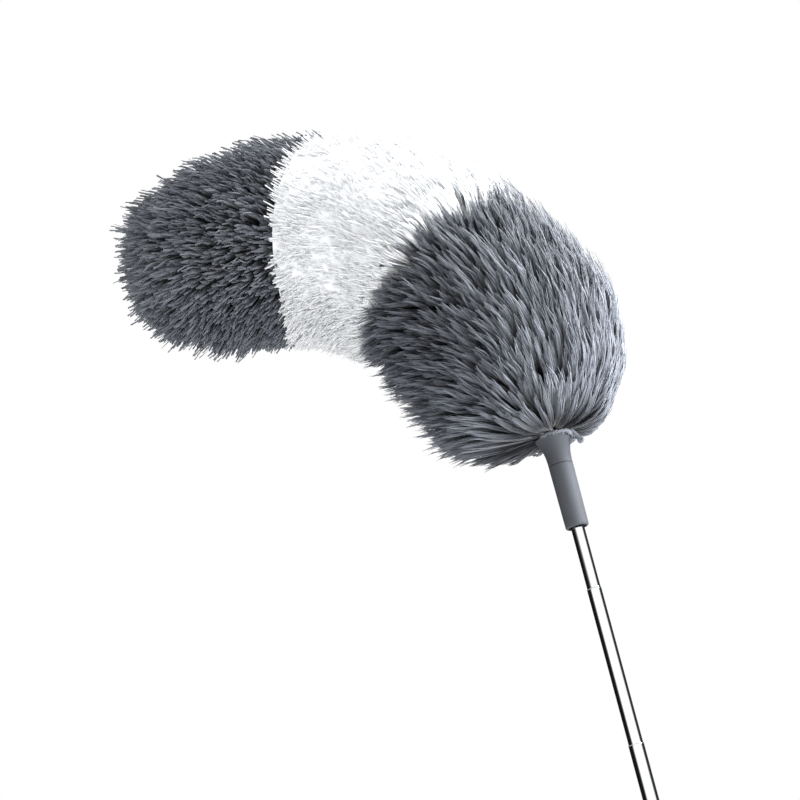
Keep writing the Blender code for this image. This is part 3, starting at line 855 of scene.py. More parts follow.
class DUSTER_OT_handle(bpy.types.Operator):
    """Builds the soft grip, its front ring and the end cap with its eye"""

    bl_idname = "duster.handle"
    bl_label = "Handle"

    def grip(self, handle, rubber):
        low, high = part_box("grip_sleeve")
        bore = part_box("handle_core")[1].x + SEAT_GAP
        length = high.z - low.z
        pitch = (length - 2 * handle.groove_margin) / (handle.groove_count - 1)
        corners = [(bore, low.z), (handle.end_radius, low.z, GRIP_EDGE)]
        for step in range(3, GRIP_STEPS - 2):
            height = low.z + length * step / GRIP_STEPS
            along = height - low.z - handle.groove_margin
            nearest = min(max(round(along / pitch), 0), handle.groove_count - 1)
            offset = abs(along - nearest * pitch) / (handle.groove_width / 2)
            groove = 0.5 + 0.5 * math.cos(math.pi * min(offset, 1))
            radius = handle.end_radius + handle.swell * math.sin(math.pi * step / GRIP_STEPS)
            corners.append((radius - groove * handle.groove_depth, height))
        corners += [(handle.end_radius, high.z, GRIP_EDGE), (bore, high.z)]
        place = ("grip_sleeve", "ribbed", "handle", "soft_grip")
        turned_part(*place, rubber, corners, handle.sides)

    def ring(self, handle, plastic):
        low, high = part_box("front_ring")
        core_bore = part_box("handle_core")[1].x + SEAT_GAP
        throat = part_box("base_tube")[1].x + SEAT_GAP
        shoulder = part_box("handle_core")[1].z + SEAT_GAP
        corners = [
            (core_bore, low.z),
            (handle.end_radius, low.z, 0.0004),
            (handle.end_radius, low.z + RING_SHOULDER, RING_ROUND),
            (throat + RING_WALL, high.z, 0.0005),
            (throat, high.z, 0.0003),
            (throat, shoulder),
            (core_bore, shoulder),
        ]
        place = ("front_ring", "moulded", "handle", "grey_plastic")
        turned_part(*place, plastic, corners, handle.sides)

    def eye_plate(self, eye, top, plastic):
        """Plate round the eye's middle height, drawn up square to its top."""
        bm = bmesh.new()
        loops = []
        for size in (EYE_RADIUS, EYE_HOLE):
            loop = []
            for step in range(EYE_STEPS):
                angle = math.tau * step / EYE_STEPS
                cosine, sine = math.cos(angle), math.sin(angle)
                far = size
                if size == EYE_RADIUS and sine > 1e-6:
                    far = min(EYE_RADIUS / max(abs(cosine), 1e-6), (top - eye) / sine)
                point = (far * cosine, -EYE_THICKNESS / 2, eye + far * sine)
                loop.append(bm.verts.new(point))
            loops.append(loop)
        rim, inner = loops
        for step in range(EYE_STEPS):
            after = (step + 1) % EYE_STEPS
            bm.faces.new((rim[step], rim[after], inner[after], inner[step]))
        grown = bmesh.ops.extrude_face_region(bm, geom=list(bm.faces))["geom"]
        moved = [item for item in grown if isinstance(item, bmesh.types.BMVert)]
        bmesh.ops.translate(bm, verts=moved, vec=(0, EYE_THICKNESS, 0))
        face_outward(bm)
        plate = mesh_object("eye_plate", bm, plastic)
        soften = plate.modifiers.new("soften", "BEVEL")
        soften.width = EYE_EDGE
        soften.segments = 4
        soften.angle_limit = math.radians(60)
        finished(plate)
        return plate

    def cap(self, handle, plastic):
        low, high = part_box("end_cap")
        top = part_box("grip_sleeve")[0].z - SEAT_GAP
        bottom = top - CAP_HEIGHT
        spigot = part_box("base_tube")[1].x
        corners = [
            (0, bottom),
            (handle.end_radius, bottom, 0.0012),
            (handle.end_radius, top, 0.0003),
            (spigot, top),
            (spigot, high.z, 0.0004),
            (0, high.z),
        ]
        bm = turned(rounded(corners, 5), handle.sides)
        body = mesh_object("end_cap_moulded", bm, plastic)
        plate = self.eye_plate(low.z + EYE_RADIUS, bottom + EYE_ROOT, plastic)
        union = body.modifiers.new("join", "BOOLEAN")
        union.operation = "UNION"
        union.solver = "EXACT"
        union.object = plate
        finished(body)
        bpy.data.objects.remove(plate)
        smooth(body.data, 35)
        settle(body, "handle", "end_cap")

    def execute(self, context):
        handle = context.scene.duster_handle
        collar = context.scene.duster_collar
        rubber = plastic_material(
            "soft-touch grip", handle.rubber, handle.roughness, 3200, 0.00008, sheen=0.12
        )
        plastic = plastic_material("handle trim", collar.plastic, collar.roughness)
        self.grip(handle, rubber)
        self.ring(handle, plastic)
        self.cap(handle, plastic)
        return {"FINISHED"}


class DUSTER_OT_core(bpy.types.Operator):
    """Gives the inner parts their finishes"""

    bl_idname = "duster.core"
    bl_label = "Inner parts"

    def execute(self, context):
        collar = context.scene.duster_collar
        finishes = {
            "handle_core": plastic_material("handle core", collar.plastic, 0.5),
            "slide_bush": plastic_material("turned nylon", (0.72, 0.72, 0.69), 0.45),
            "binding_band": plastic_material("binding band", (0.10, 0.105, 0.118), 0.5),
            "core_wire": steel_material("soft wire", (0.50, 0.50, 0.52), 0.38),
            "core_sleeve": plastic_material("black vinyl", (0.022, 0.022, 0.025), 0.4),
            "tip_cap": plastic_material("tip cap", (0.10, 0.105, 0.118), 0.5),
        }
        for name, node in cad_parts.items():
            for start, material in finishes.items():
                if name.startswith(start):
                    node.data.materials.clear()
                    node.data.materials.append(material)
        wire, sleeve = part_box("core_wire_1")[1].x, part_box("core_sleeve_1")[1].x
        self.lengths("core_wire", 0, wire, finishes["core_wire"], "core_wire")
        bore = wire + SEAT_GAP
        self.lengths("core_sleeve", bore, sleeve, finishes["core_sleeve"], "core_vinyl")
        return {"FINISHED"}

    def lengths(self, node, bore, outer, material, slot):
        """Lengths of the core that bend at the joints, in place of the rigid ones."""
        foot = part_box("core_wire_1")[0].z - RIM_HEIGHT
        for link, low, high in joint_runs(foot, CORE_LENGTH):
            places = spaced(low, high)
            points = [(outer, place) for place in places]
            points += [(bore, place) for place in (places if bore else (low, high))[::-1]]
            bm = turned(points, 32)
            lay(bm)
            piece = mesh_object(f"{node}_{link}_bending", bm, material, 60)
            bend_with(piece, slot, link)
            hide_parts(f"{node}_{link}")
            if link == 2:
                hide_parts(f"{node}_1")


# Shares of the pile's length against, in shares of the pile's radius, how far ahead of
# its root a tuft ends, how far out it ends, how far ahead its knee is, and how far out
TUFT_COURSES = (
    (0.00, 0.30, 0.86, -0.07, 0.62),
    (0.03, 0.38, 0.945, -0.05, 0.75),
    (0.06, 0.44, 0.985, -0.04, 0.82),
    (0.12, 0.46, 1.01, -0.03, 0.87),
    (0.17, 0.44, 1.01, -0.03, 0.88),
    (0.25, 0.38, 1.005, -0.04, 0.87),
    (0.35, 0.29, 1.00, -0.05, 0.86),
    (0.52, 0.21, 0.97, -0.05, 0.82),
    (0.66, 0.20, 0.95, -0.04, 0.80),
    (0.79, 0.215, 0.955, -0.03, 0.80),
    (0.85, 0.25, 0.935, -0.02, 0.77),
    (0.92, 0.32, 0.86, -0.01, 0.68),
    (1.00, 0.37, 0.68, 0.00, 0.50),
    (1.50, 0.45, 0.41, 0.10, 0.28),
    (2.00, 0.50, 0.00, 0.20, 0.00),
)
TUFT_STEPS = 6
# Shares of the pile's length against how wide a lock is, how far its end sags on the
# inside of the bend, in shares of the pile's radius, and how much fuller the pile is than
# the form on the outside of the bend and on the inside
LOCK_FORMS = (
    (0.00, 1.10, 0.12, -0.25, 0.08),
    (0.04, 1.10, 0.10, -0.09, 0.08),
    (0.12, 1.10, 0.07, 0.02, 0.04),
    (0.22, 1.05, 0.04, 0.02, 0.02),
    (0.33, 1.00, 0.02, 0.02, 0.02),
    (0.42, 1.00, 0.01, 0.05, -0.04),
    (0.50, 1.00, 0.01, 0.07, -0.10),
    (0.66, 1.00, 0.01, 0.03, -0.09),
    (0.80, 1.00, 0.01, -0.03, -0.07),
    (0.90, 0.95, 0.01, -0.12, -0.03),
    (2.00, 0.95, 0.01, -0.12, 0.02),
)
# Kinds of lock, by the stretch of the pile that they stand in. For the node tree: radius of
# a lock at its root and width of a strand, share of the radius kept at the lock's end,
# shortest reach, and how far the lock's end strays from its place and plays
LOCK_INPUTS = ("Lock radius", "Strand width", "Kept radius", "Shortest", "Drift", "Play")
LOCK_KINDS = {
    "foot": (0.0022, 0.0012, 0.60, 0.74, 0.0045, 0.006),
    "white": (0.0018, 0.0013, 1.0, 0.96, 0.0012, 0.0025),
    "tip": (0.0010, 0.0011, 0.95, 0.82, 0.004, 0.005),
}
# For the template: strands in a lock, how uneven they are in length, how high the ridge is
# that faces out on a strand, and the strand's width by height
LOCK_SHAPES = {
    "foot": (9, 0.22, 0.75, ((0.0, 0.55), (0.35, 0.90), (0.62, 1.00), (0.84, 0.85), (1.0, 0.35))),
    "white": (4, 0.06, 0.45, ((0.0, 0.55), (0.50, 0.95), (0.85, 1.00), (1.0, 0.70))),
    "tip": (4, 0.07, 0.75, ((0.0, 0.55), (0.50, 0.90), (0.90, 0.90), (1.0, 1.15))),
}
# Locks on a metre of core
LOCK_COUNTS = {"foot": 24000, "white": 42000, "tip": 42000}
LOCK_FLATNESS = 0.55
# Play of the locks' roots along the pile, as a share of its length, and round the core;
# their turn about themselves, in radians; and the range of their shades
ROOT_PLAY = 0.007
ROUND_PLAY = 0.12
TURN_PLAY = 0.6
SHADES = (0.6, 1.25)
# Noise that moves the locks' ends: its scale and how far it moves them, in metres. The
# middle one moves them by their kind's play
WIDE_PLAY = (26.0, 0.013)
FINE_PLAY = 140.0
FRAY_PLAY = (380.0, 0.0024)
# Strands that stand out of their lock: share of the locks, share of the strands there,
# how much longer they are, and how much further they stray to a side, in metres
STRAY_LOCKS = 0.42
STRAY_STRANDS = 0.30
STRAY_LENGTH = 0.08
STRAY_DRIFT = 0.008
# The backing cloth: radius at its foot and in full, its wall, the length over which it
# spreads, and its dome's height; and the dome's share of the locks
BACKING_FOOT = 0.0088
BACKING_RADIUS = 0.015
BACKING_WALL = 0.0015
BACKING_SPREAD = 0.020
BACKING_DOME = 0.011
DOME_WEIGHT = 0.10
# Turn from one lock or strand to the next, and the fractions that spread them evenly
GOLDEN_ANGLE = math.pi * (3 - math.sqrt(5))
GOLDEN_SHARES = (0.618034, 0.381966)
TABLE_STEPS = 64


def backing_place(along):
    """Distance along the core and radius of the backing cloth at a share of the pile."""
    if along <= 1:
        distance = PILE_START + (CORE_LENGTH - PILE_START) * along
        spread = min((distance - PILE_START) / BACKING_SPREAD, 1)
        return distance, BACKING_FOOT + (BACKING_RADIUS - BACKING_FOOT) * spread
    angle = (along - 1) * math.pi / 2
    return CORE_LENGTH + BACKING_DOME * math.sin(angle), BACKING_RADIUS * math.cos(angle)


def lock_template(strands, uneven, ridge, widths):
    """One lock: strands side by side, with their own centres kept as an attribute."""
    section = ((-1.0, 0.4 * ridge), (0.0, -ridge), (1.0, 0.4 * ridge))
    bm = bmesh.new()
    centres = []
    for strand in range(strands):
        spread = math.sqrt((strand + 0.5) / strands)
        angle = GOLDEN_ANGLE * strand
        length_draw, order_draw = ((strand * part) % 1 for part in GOLDEN_SHARES)
        rings = []
        for rise, width in widths:
            height = rise * (1 - uneven * length_draw)
            rings.append([bm.verts.new((width * x, width * y, height)) for x, y in section])
            centre = (spread * math.cos(angle), spread * math.sin(angle), order_draw)
            centres += [centre] * len(section)
        skin(bm, rings)
    mesh = bpy.data.meshes.new("lock")
    bm.to_mesh(mesh)
    bm.free()
    stored = mesh.attributes.new("strand_centre", "FLOAT_VECTOR", "POINT")
    stored.data.foreach_set("vector", [part for centre in centres for part in centre])
    smooth(mesh, 90)
    return mesh


def centreline():
    """Curve along the core, carried on straight at both ends."""
    data = bpy.data.curves.new("centreline", "CURVE")
    data.dimensions = "3D"
    whole = CORE_LENGTH + 2 * CORE_OVERRUN
    steps = round(whole / 0.002)
    spline = data.splines.new("POLY")
    spline.points.add(steps)
    foot = Vector((0, 0, RIM_HEIGHT))
    for index, point in enumerate(spline.points):
        distance = whole * index / steps - CORE_OVERRUN
        place = beside_core(distance) if distance > 0 else foot + Vector((0, 0, distance))
        point.co = (*place, 1)
    return link_object("centreline", data)


PILE_INPUTS = {
    "Geometry": ("Geometry", None),
    "Centreline": ("Object", None),
    "Locks": ("Int", 100),
    "First lock": ("Int", 0),
    "Start": ("Float", 0.0),
    "End": ("Float", 1.0),
    "Pile radius": ("Float", 0.09),
    **{name: ("Float", value) for name, value in zip(LOCK_INPUTS, LOCK_KINDS["foot"])},
    **{name: ("Float", value) for name, value in WHITE_BAND.items()},
    "White": ("Bool", False),
    "Inside": ("Bool", False),
    "Seed": ("Int", 7),
    "Material": ("Material", None),
}


def pile_tree():
    """Node tree that sets locks round the core and lays them over the pile's form."""
    tree = bpy.data.node_groups.new("pile", "GeometryNodeTree")
    for name, (kind, default) in PILE_INPUTS.items():
        socket = tree.interface.new_socket(
            name=name, in_out="INPUT", socket_type=f"NodeSocket{kind}"
        )
        if default is not None:
            socket.default_value = default
    tree.interface.new_socket(
        name="Geometry", in_out="OUTPUT", socket_type="NodeSocketGeometry"
    )
    g = Graph(tree)
    inputs = g.node("NodeGroupInput").outputs
    given = {name: Value(g, inputs[name]) for name in PILE_INPUTS}
    radius = given["Pile radius"]

    def attribute(name, kind="FLOAT"):
        return g.add("GeometryNodeInputNamedAttribute", data_type=kind, named={"Name": name})

    def store(geometry, name, value):
        return g.add(
            "GeometryNodeStoreNamedAttribute",
            data_type="FLOAT",
            domain="POINT",
            named={"Geometry": geometry, "Name": name, "Value": value},
        )

    def both(first, second, operation):
        return g.add("FunctionNodeBooleanMath", first, second, operation=operation)

    # Places of the locks: an even spiral with a little play
    index = g.add("GeometryNodeInputIndex")
    identity = index + given["First lock"]

    def drawn(low, high, offset):
        named = {2: low, 3: high, 7: identity, 8: given["Seed"] + offset}
        return g.add("FunctionNodeRandomValue", data_type="FLOAT", named=named, out=1)

    share = (index + 0.5) / given["Locks"]
    course = given["Start"] + share * (given["End"] - given["Start"])
    course = g.math("MAXIMUM", course + drawn(-ROOT_PLAY, ROOT_PLAY, 1), 0.0)
    beyond = g.math("MAXIMUM", (course - 1.0) / DOME_WEIGHT, 0.0)
    over = 1.0 - g.math("SQRT", 1.0 - g.math("MINIMUM", beyond, 1.0))
    along = g.math("MINIMUM", course, 1.0) + over
    angle = identity * GOLDEN_ANGLE + drawn(-ROUND_PLAY, ROUND_PLAY, 2)
    shortest = given["Shortest"]
    longer = g.math("POWER", drawn(0, 1, 4), 2.0)
    points = g.add("GeometryNodePoints", given["Locks"])
    for name, value in (
        ("along", along),
        ("angle", angle),
        ("turn", drawn(-TURN_PLAY, TURN_PLAY, 3)),
        ("reach", shortest + longer * (1.0 - shortest)),
        ("stray", drawn(0, 1, 8) > 1 - STRAY_LOCKS),
        ("shade", drawn(*SHADES, 5)),
        ("drift_round", drawn(-1, 1, 6)),
        ("drift_along", drawn(-1, 1, 7)),
    ):
        points = store(points, name, value)
    cosine, sine = g.math("COSINE", angle), g.math("SINE", angle)
    root = along * (CORE_LENGTH - PILE_START) + PILE_START
    first_edge = given["White start"] - cosine * given["White lean"]
    last_edge = given["White end"] - cosine * given["White end lean"]
    last_edge = last_edge + sine * sine * given["White end bulge"]
    is_white = (root > first_edge) * (root < last_edge)
    right_colour = both(is_white, given["White"], "XNOR")
    wanted = both(right_colour, both(cosine < 0.0, given["Inside"], "XNOR"), "AND")
    placed = g.add(
        "GeometryNodeInstanceOnPoints",
        named={"Points": points, "Selection": wanted, "Instance": given["Geometry"]},
    )
    strands = g.add("GeometryNodeRealizeInstances", placed)

    # Course of each strand in distance along the core and radius from it
    along, angle = attribute("along"), attribute("angle")
    half = along * 0.5
    template = g.parts(g.add("GeometryNodeInputPosition"))
    own = g.parts(attribute("strand_centre", "FLOAT_VECTOR"))
    longest = own[2] > 1 - STRAY_STRANDS
    longer = attribute("stray") * longest * STRAY_LENGTH + 1.0
    rise = template[2] * attribute("reach") * longer
    steps = [2 * step / TABLE_STEPS for step in range(TABLE_STEPS + 1)]
    root, root_out = (
        g.table(half, [(step / 2, backing_place(step)[part]) for step in steps])
        for part in (0, 1)
    )
    ahead, out, knee_ahead, knee_out = (
        g.table(half, [(row[0] / 2, row[column]) for row in TUFT_COURSES]) * radius
        for column in (1, 2, 3, 4)
    )
    width, sag, outside, inside = (
        g.table(half, [(row[0] / 2, row[column]) for row in LOCK_FORMS])
        for column in (1, 2, 3, 4)
    )
    cosine, sine = g.math("COSINE", angle), g.math("SINE", angle)
    outer_side = cosine * 0.5 + 0.5
    fullness = outside * outer_side + inside * (1.0 - outer_side) + 1.0
    out, knee_out = out * fullness, knee_out * fullness
    left = 1.0 - rise
    weights = (left * left, left * rise * 2.0, rise * rise)
    distance = root + weights[1] * knee_ahead + weights[2] * ahead
    outward = weights[0] * root_out + weights[1] * knee_out + weights[2] * out
    run = left * knee_ahead + rise * (ahead - knee_ahead)
    climb = left * (knee_out - root_out) + rise * (out - knee_out)
    slope = g.math("SQRT", run * run + climb * climb + 1e-9)

    # Frame at that place of the core
    line = g.add("GeometryNodeObjectInfo", given["Centreline"], out="Geometry")
    sample = g.node(
        "GeometryNodeSampleCurve",
        mode="LENGTH",
        named={"Curves": line, "Length": distance + CORE_OVERRUN},
    ).outputs
    centre, forward = Value(g, sample["Position"]), Value(g, sample["Tangent"])
    side = g.vector("CROSS_PRODUCT", (0.0, 1.0, 0.0), forward)
    normal = side * cosine + g.combine(0.0, sine, 0.0)
    around = side * (sine * -1.0) + g.combine(0.0, cosine, 0.0)
    flat = forward * (climb / slope) + normal * (run * -1.0 / slope)

    # Offsets of a strand in its lock, closing in towards the lock's end
    risen = rise * rise
    lock = given["Lock radius"] * width * (1.0 - (1.0 - given["Kept radius"]) * risen)
    thickness = given["Strand width"] * 0.5
    lock_u = own[0] * lock + template[0] * thickness
    lock_v = own[1] * lock * LOCK_FLATNESS + template[1] * thickness
    turn = attribute("turn")
    turn_cosine, turn_sine = g.math("COSINE", turn), g.math("SINE", turn)
    drift = given["Drift"] + attribute("stray") * longest * STRAY_DRIFT
    step_u = lock_u * turn_cosine - lock_v * turn_sine
    step_u = step_u + attribute("drift_round") * risen * drift
    step_v = lock_u * turn_sine + lock_v * turn_cosine
    drift_ahead = attribute("drift_along") * risen * given["Drift"]
    axis = centre + normal * outward
    place = axis + around * step_u + flat * step_v + forward * drift_ahead
    place = place + g.combine(0.0, 0.0, sag * radius * risen * (cosine - 1.0))

    # Play of whole locks, shared by neighbours, then that of each strand
    for start, scale, amount in (
        (axis, WIDE_PLAY[0], WIDE_PLAY[1]),
        (axis, FINE_PLAY, given["Play"]),
        (place, FRAY_PLAY[0], FRAY_PLAY[1]),
    ):
        played = g.noise(start, scale, 1.0, out="Color") - (0.5, 0.5, 0.5)
        place = place + played * (risen * amount)
    strands = store(strands, "rise", rise)
    moved = g.add("GeometryNodeSetPosition", named={"Geometry": strands, "Position": place})
    done = g.add(
        "GeometryNodeSetMaterial", named={"Geometry": moved, "Material": given["Material"]}
    )
    g.node("NodeGroupOutput", done)
    return tree


def backing_runs():
    """Stretches of cloth by joint and colour: link, start, end, colour."""
    runs = []
    for link, start, end in joint_runs(PILE_START, CORE_LENGTH):
        cuts = [start, *[cut for cut in (WHITE_START, WHITE_END) if start < cut < end], end]
        for low, high in zip(cuts, cuts[1:]):
            white = WHITE_START <= (low + high) / 2 <= WHITE_END
            runs.append((link, low, high, "white" if white else "grey"))
    return runs


def pile_runs():
    """The same stretches for the tufts, lengthened as far as the colours' edges play."""
    play = {
        WHITE_START: (WHITE_LEAN, WHITE_LEAN),
        WHITE_END: (WHITE_END_LEAN, WHITE_END_BULGE + 0.001),
    }
    still = (0, 0)
    runs = []
    for link, start, end, colour in backing_runs():
        kind = "white" if colour == "white" else "foot" if end <= WHITE_START else "tip"
        low, high = start - play.get(start, still)[0], end + play.get(end, still)[1]
        runs.append((link, low, high, colour, kind))
    return runs


class DUSTER_OT_pile(bpy.types.Operator):
    """Builds the pile from locks of strands"""

    bl_idname = "duster.pile"
    bl_label = "Pile"

    most_triangles = 150000
    kept_attributes = ("position", "rise", "shade", "along")

    def execute(self, context):
        pile = context.scene.duster_pile
        materials = {
            # The grey pile is painted 10 % paler at its foot: painted light from the right-hand lamp
            "grey": pile_material("grey microfibre", pile.grey, pile.grey_root_painted_shade, 0.85, 1.10),
            "white": pile_material("white microfibre", pile.white, pile.white_root_painted_shade, 0.06),
        }
        tree, line = pile_tree(), centreline()
        templates = {name: lock_template(*shape) for name, shape in LOCK_SHAPES.items()}
        first = 0
        seen_links = set()
        for link, start, end, colour, kind in pile_runs():
            template = templates[kind]
            lock_triangles = sum(len(face.vertices) - 2 for face in template.polygons)
            low, high = pile_share(start), pile_share(end)
            if end >= CORE_LENGTH:
                high = 1 + DOME_WEIGHT
            length = (high - low) * (CORE_LENGTH - PILE_START)
            wanted = length * LOCK_COUNTS[kind] * pile.density
            parts = math.ceil(wanted * lock_triangles / (2 * self.most_triangles))
            locks = round(wanted / parts)
            for part, inside in itertools.product(range(parts), (False, True)):
                values = {
                    "Centreline": line,
                    "Locks": locks,
                    "First lock": first + part * locks,
                    "Start": low + (high - low) * part / parts,
                    "End": low + (high - low) * (part + 1) / parts,
                    "Pile radius": pile.radius,
                    **dict(zip(LOCK_INPUTS, LOCK_KINDS[kind])),
                    **WHITE_BAND,
                    "White": colour == "white",
                    "Inside": inside,
                    "Seed": pile.seed,
                    "Material": materials[colour],
                }
                half = "inside" if inside else "outside"
                name = f"pile_{link}_{colour}_{half}_{part + 1}"
                piece = self.grow(name, template, tree, values)
                side = -1 if inside else 1
                edges = [
                    tuft_points(root, pile.radius, side) for root in joint_spans()[link - 2][1:]
                ]
                bend_with(piece, f"{colour}_pile", link, *edges)
                if link not in seen_links:
                    seen_links.add(link)
                    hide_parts(f"pile_{link}")
                    if link == 2:
                        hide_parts("pile_1")
            first += parts * locks
        bpy.data.objects.remove(line)
        return {"FINISHED"}

    def grow(self, name, template, tree, values):
        """Runs the tree for one stretch and keeps its result as a plain mesh."""
        piece = link_object(name, template.copy())
        modifier = piece.modifiers.new("pile", "NODES")
        modifier.node_group = tree
        for item in tree.interface.items_tree:
            if item.in_out == "INPUT" and item.name in values:
                modifier[item.identifier] = values[item.name]
        finished(piece)
        piece.data.name = name
        piece.data.materials.clear()
        piece.data.materials.append(values["Material"])
        for attribute in list(piece.data.attributes):
            needed = attribute.is_internal or attribute.is_required
            if not needed and attribute.name not in self.kept_attributes:
                piece.data.attributes.remove(attribute)
        return piece


# Where the bed starts and ends from the white band's edges, in metres, its height as a
# share of the pile's, its inside as a share of its height, the stretch over which its ends
# follow the edges, and the share by which it dives under the grey tufts at its start
BED_INSET = (0.024, 0.012)
BED_HEIGHT = 0.95
BED_INSIDE = 0.9
BED_EASE = 0.02
BED_DIVE = 0.07


class DUSTER_OT_backing(bpy.types.Operator):
    """Builds the cloth that the tufts are sewn to, and the bed under the white ones"""

    bl_idname = "duster.backing"
    bl_label = "Backing cloth"

    def execute(self, context):
        pile = context.scene.duster_pile
        cloths = {
            "grey": cloth_material("grey backing cloth", pile.grey),
            "white": cloth_material("white backing cloth", pile.white),
        }
        for link, start, end, colour in backing_runs():
            bm = self.tube(start, end)
            piece = mesh_object(f"backing_{link}_{colour}", bm, cloths[colour], 60)
            bend_with(piece, f"{colour}_pile", link)
        self.beds(pile.radius, bpy.data.materials["white microfibre"])
        return {"FINISHED"}

    def tube(self, start, end):
        """Closed tube of cloth from start to end, with its far end domed if it is the last."""
        top = CORE_LENGTH + BACKING_DOME
        shares = [pile_share(place) for place in spaced(start, end)]
        closing = []
        if end >= CORE_LENGTH:
            shares += [1 + step / 8 for step in range(1, 8)]
            closing = [(0, top), (0, top - BACKING_WALL)]
        outer = [backing_place(share)[::-1] for share in shares]
        inner = [
            (max(radius - BACKING_WALL, 0.002), min(distance, top - 0.003))
            for radius, distance in reversed(outer)
        ]
        bm = turned(outer + closing + inner, 40)
        lay(bm)
        return bm

    def beds(self, reach, fibre):
        """Close fibre under the ends of the white tufts, which lets no dark through."""
        low, high = WHITE_START + BED_INSET[0], WHITE_END + BED_INSET[1]
        form = [
            (backing_place(row[0])[0] + row[1] * reach, row[2] * reach, row[0])
            for row in TUFT_COURSES
        ]
        for link, *roots in joint_spans():
            start, end = (root + tuft_course(root, reach)[0] for root in roots)
            start, end = max(start, low), min(end, high)
            if start >= end:
                continue
            outer = [(BED_HEIGHT * read(form, place, 1), place) for place in spaced(start, end)]
            inner = [(BED_INSIDE * radius, place) for radius, place in reversed(outer)]
            bm = turned(outer + inner, 72)
            for vert in bm.verts:
                angle = math.atan2(vert.co.y, vert.co.x)
                share = read(form, vert.co.z, 2)
                outer_side = 0.5 + 0.5 * math.cos(angle)
                fullness = 1 + read(LOCK_FORMS, share, 3) * outer_side
                fullness += read(LOCK_FORMS, share, 4) * (1 - outer_side)
                first = max(0, 1 - (vert.co.z - low) / BED_EASE)
                last = max(0, 1 - (high - vert.co.z) / BED_EASE)
                vert.co.xy *= fullness * (1 - BED_DIVE * first)
                shift = -first * WHITE_LEAN * math.cos(angle)
                shift -= last * WHITE_END_LEAN * math.cos(angle)
                shift += last * WHITE_END_BULGE * math.sin(angle) ** 2
                vert.co.z += shift
            lay(bm)
            piece = mesh_object(f"bed_{link}_white", bm, fibre, 60)
            set_values(piece, rise=1.0, shade=0.9, along=0.5)
            edges = [[tuft_points(root, reach, side)[-1] for side in (1, -1)] for root in roots]
            bend_with(piece, "white_pile", link, *edges)


# The loose fibres, and the range of their bearings in degrees, from -Y towards +X; and
# their width at the five points of their course
FRINGE_FIBRES = 130
FRINGE_BEARINGS = (-24, 100)
FRINGE_WIDTHS = (0.0007, 0.0009, 0.0009, 0.0008, 0.0005)
# The curl: where it leaves the pile and where it winds, from the rim, with its first turn
# in degrees and its radius, and how much both and its depth change by step
CURL_FOOT = Vector((0.0125, -0.004, 0.0035))
CURL_CENTRE = Vector((0.0190, -0.004, -0.0078))
CURL_STEPS = 26
CURL_TURN = (100, -27)
CURL_RADIUS = (0.0021, -0.00008)
CURL_DEPTH_STEP = 0.000045


class DUSTER_OT_fringe(bpy.types.Operator):
    """Adds the loose fibres over the ferrule's rim and the curl beside it"""

    bl_idname = "duster.fringe"
    bl_label = "Loose fibres"

    def add_strand(self, bm, path, widths, sides=5):
        """Closed strand along a path of points."""
        rings = []
        for index, (point, width) in enumerate(zip(path, widths)):
            ahead = path[min(index + 1, len(path) - 1)] - path[max(index - 1, 0)]
            across = ahead.cross(Vector((0.3, -1, 0.2))).normalized()
            over = ahead.cross(across).normalized()
            angles = [math.tau * side / sides for side in range(sides)]
            rings.append([
                bm.verts.new(point + width / 2 * (math.cos(a) * across + math.sin(a) * over))
                for a in angles
            ])
        skin(bm, rings)

    def add_fibre(self, bm, draw, rim):
        """One fibre that comes up over the rim and hangs down outside it."""
        bearing = math.radians(draw.uniform(*FRINGE_BEARINGS))
        fall = draw.uniform(-0.0005, 0.0024)
        fall += max(0, math.sin(bearing - 0.2)) * draw.uniform(0, 0.0032)
        stray = draw.uniform(-0.45, 0.45)
        lift = draw.uniform(0.0003, 0.0016)
        path = []
        for outside, rise, share in (
            (-0.0030, -0.0015, 0),
            (-0.0010, lift, 0.25),
            (0.0002, 0.8 * lift, 0.5),
            (0.0007, -0.3 * fall, 0.8),
            (0.0004, -fall, 1),
        ):
            at, radius = bearing + stray * share, rim + outside
            point = (radius * math.sin(at), -radius * math.cos(at), RIM_HEIGHT + rise)
            path.append(Vector(point))
        self.add_strand(bm, path, FRINGE_WIDTHS)

    def execute(self, context):
        pile = context.scene.duster_pile
        rim = context.scene.duster_collar.rim_radius
        draw = random.Random(pile.seed)
        bm = bmesh.new()
        for _ in range(FRINGE_FIBRES):
            self.add_fibre(bm, draw, rim)
        top = Vector((0, 0, RIM_HEIGHT))
        curl = [top + CURL_FOOT]
        for step in range(CURL_STEPS):
            turn = math.radians(CURL_TURN[0] + CURL_TURN[1] * step)
            size = CURL_RADIUS[0] + CURL_RADIUS[1] * step
            wound = (size * math.cos(turn), CURL_DEPTH_STEP * step, size * math.sin(turn))
            curl.append(top + CURL_CENTRE + Vector(wound))
        self.add_strand(bm, curl, [0.0040] + [0.0026] * CURL_STEPS, 8)
        face_outward(bm)
        piece = mesh_object("loose_fibres", bm, bpy.data.materials["grey microfibre"], 60)
        set_values(piece, rise=1.0, shade=0.85, along=0.0)
        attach(piece, "head_1")
        return {"FINISHED"}


# Lights: place, aim, size, and whether gloss shows them
LIGHTS = {
    "key": ((0.87, -0.12, 0.82), (0, 0, 1.02), (0.45, 0.5), False),
    "shine": ((0.80, -0.04, 1.62), (0, 0, 1.02), (0.45, 0.45), True),
    "top": ((0.15, -0.35, 2.05), (-0.1, 0, 1.12), (0.8, 0.8), True),
    "fill": ((-1.4, -1.8, 0.9), (0, 0, 1.0), (1.4, 1.4), True),
    "low": ((0.08, -0.45, 0.52), (0, 0, 1.1), (0.4, 0.4), False),
}
# Direction of the bright side
BRIGHT_SIDE = (0.30, -0.25, 0.90)
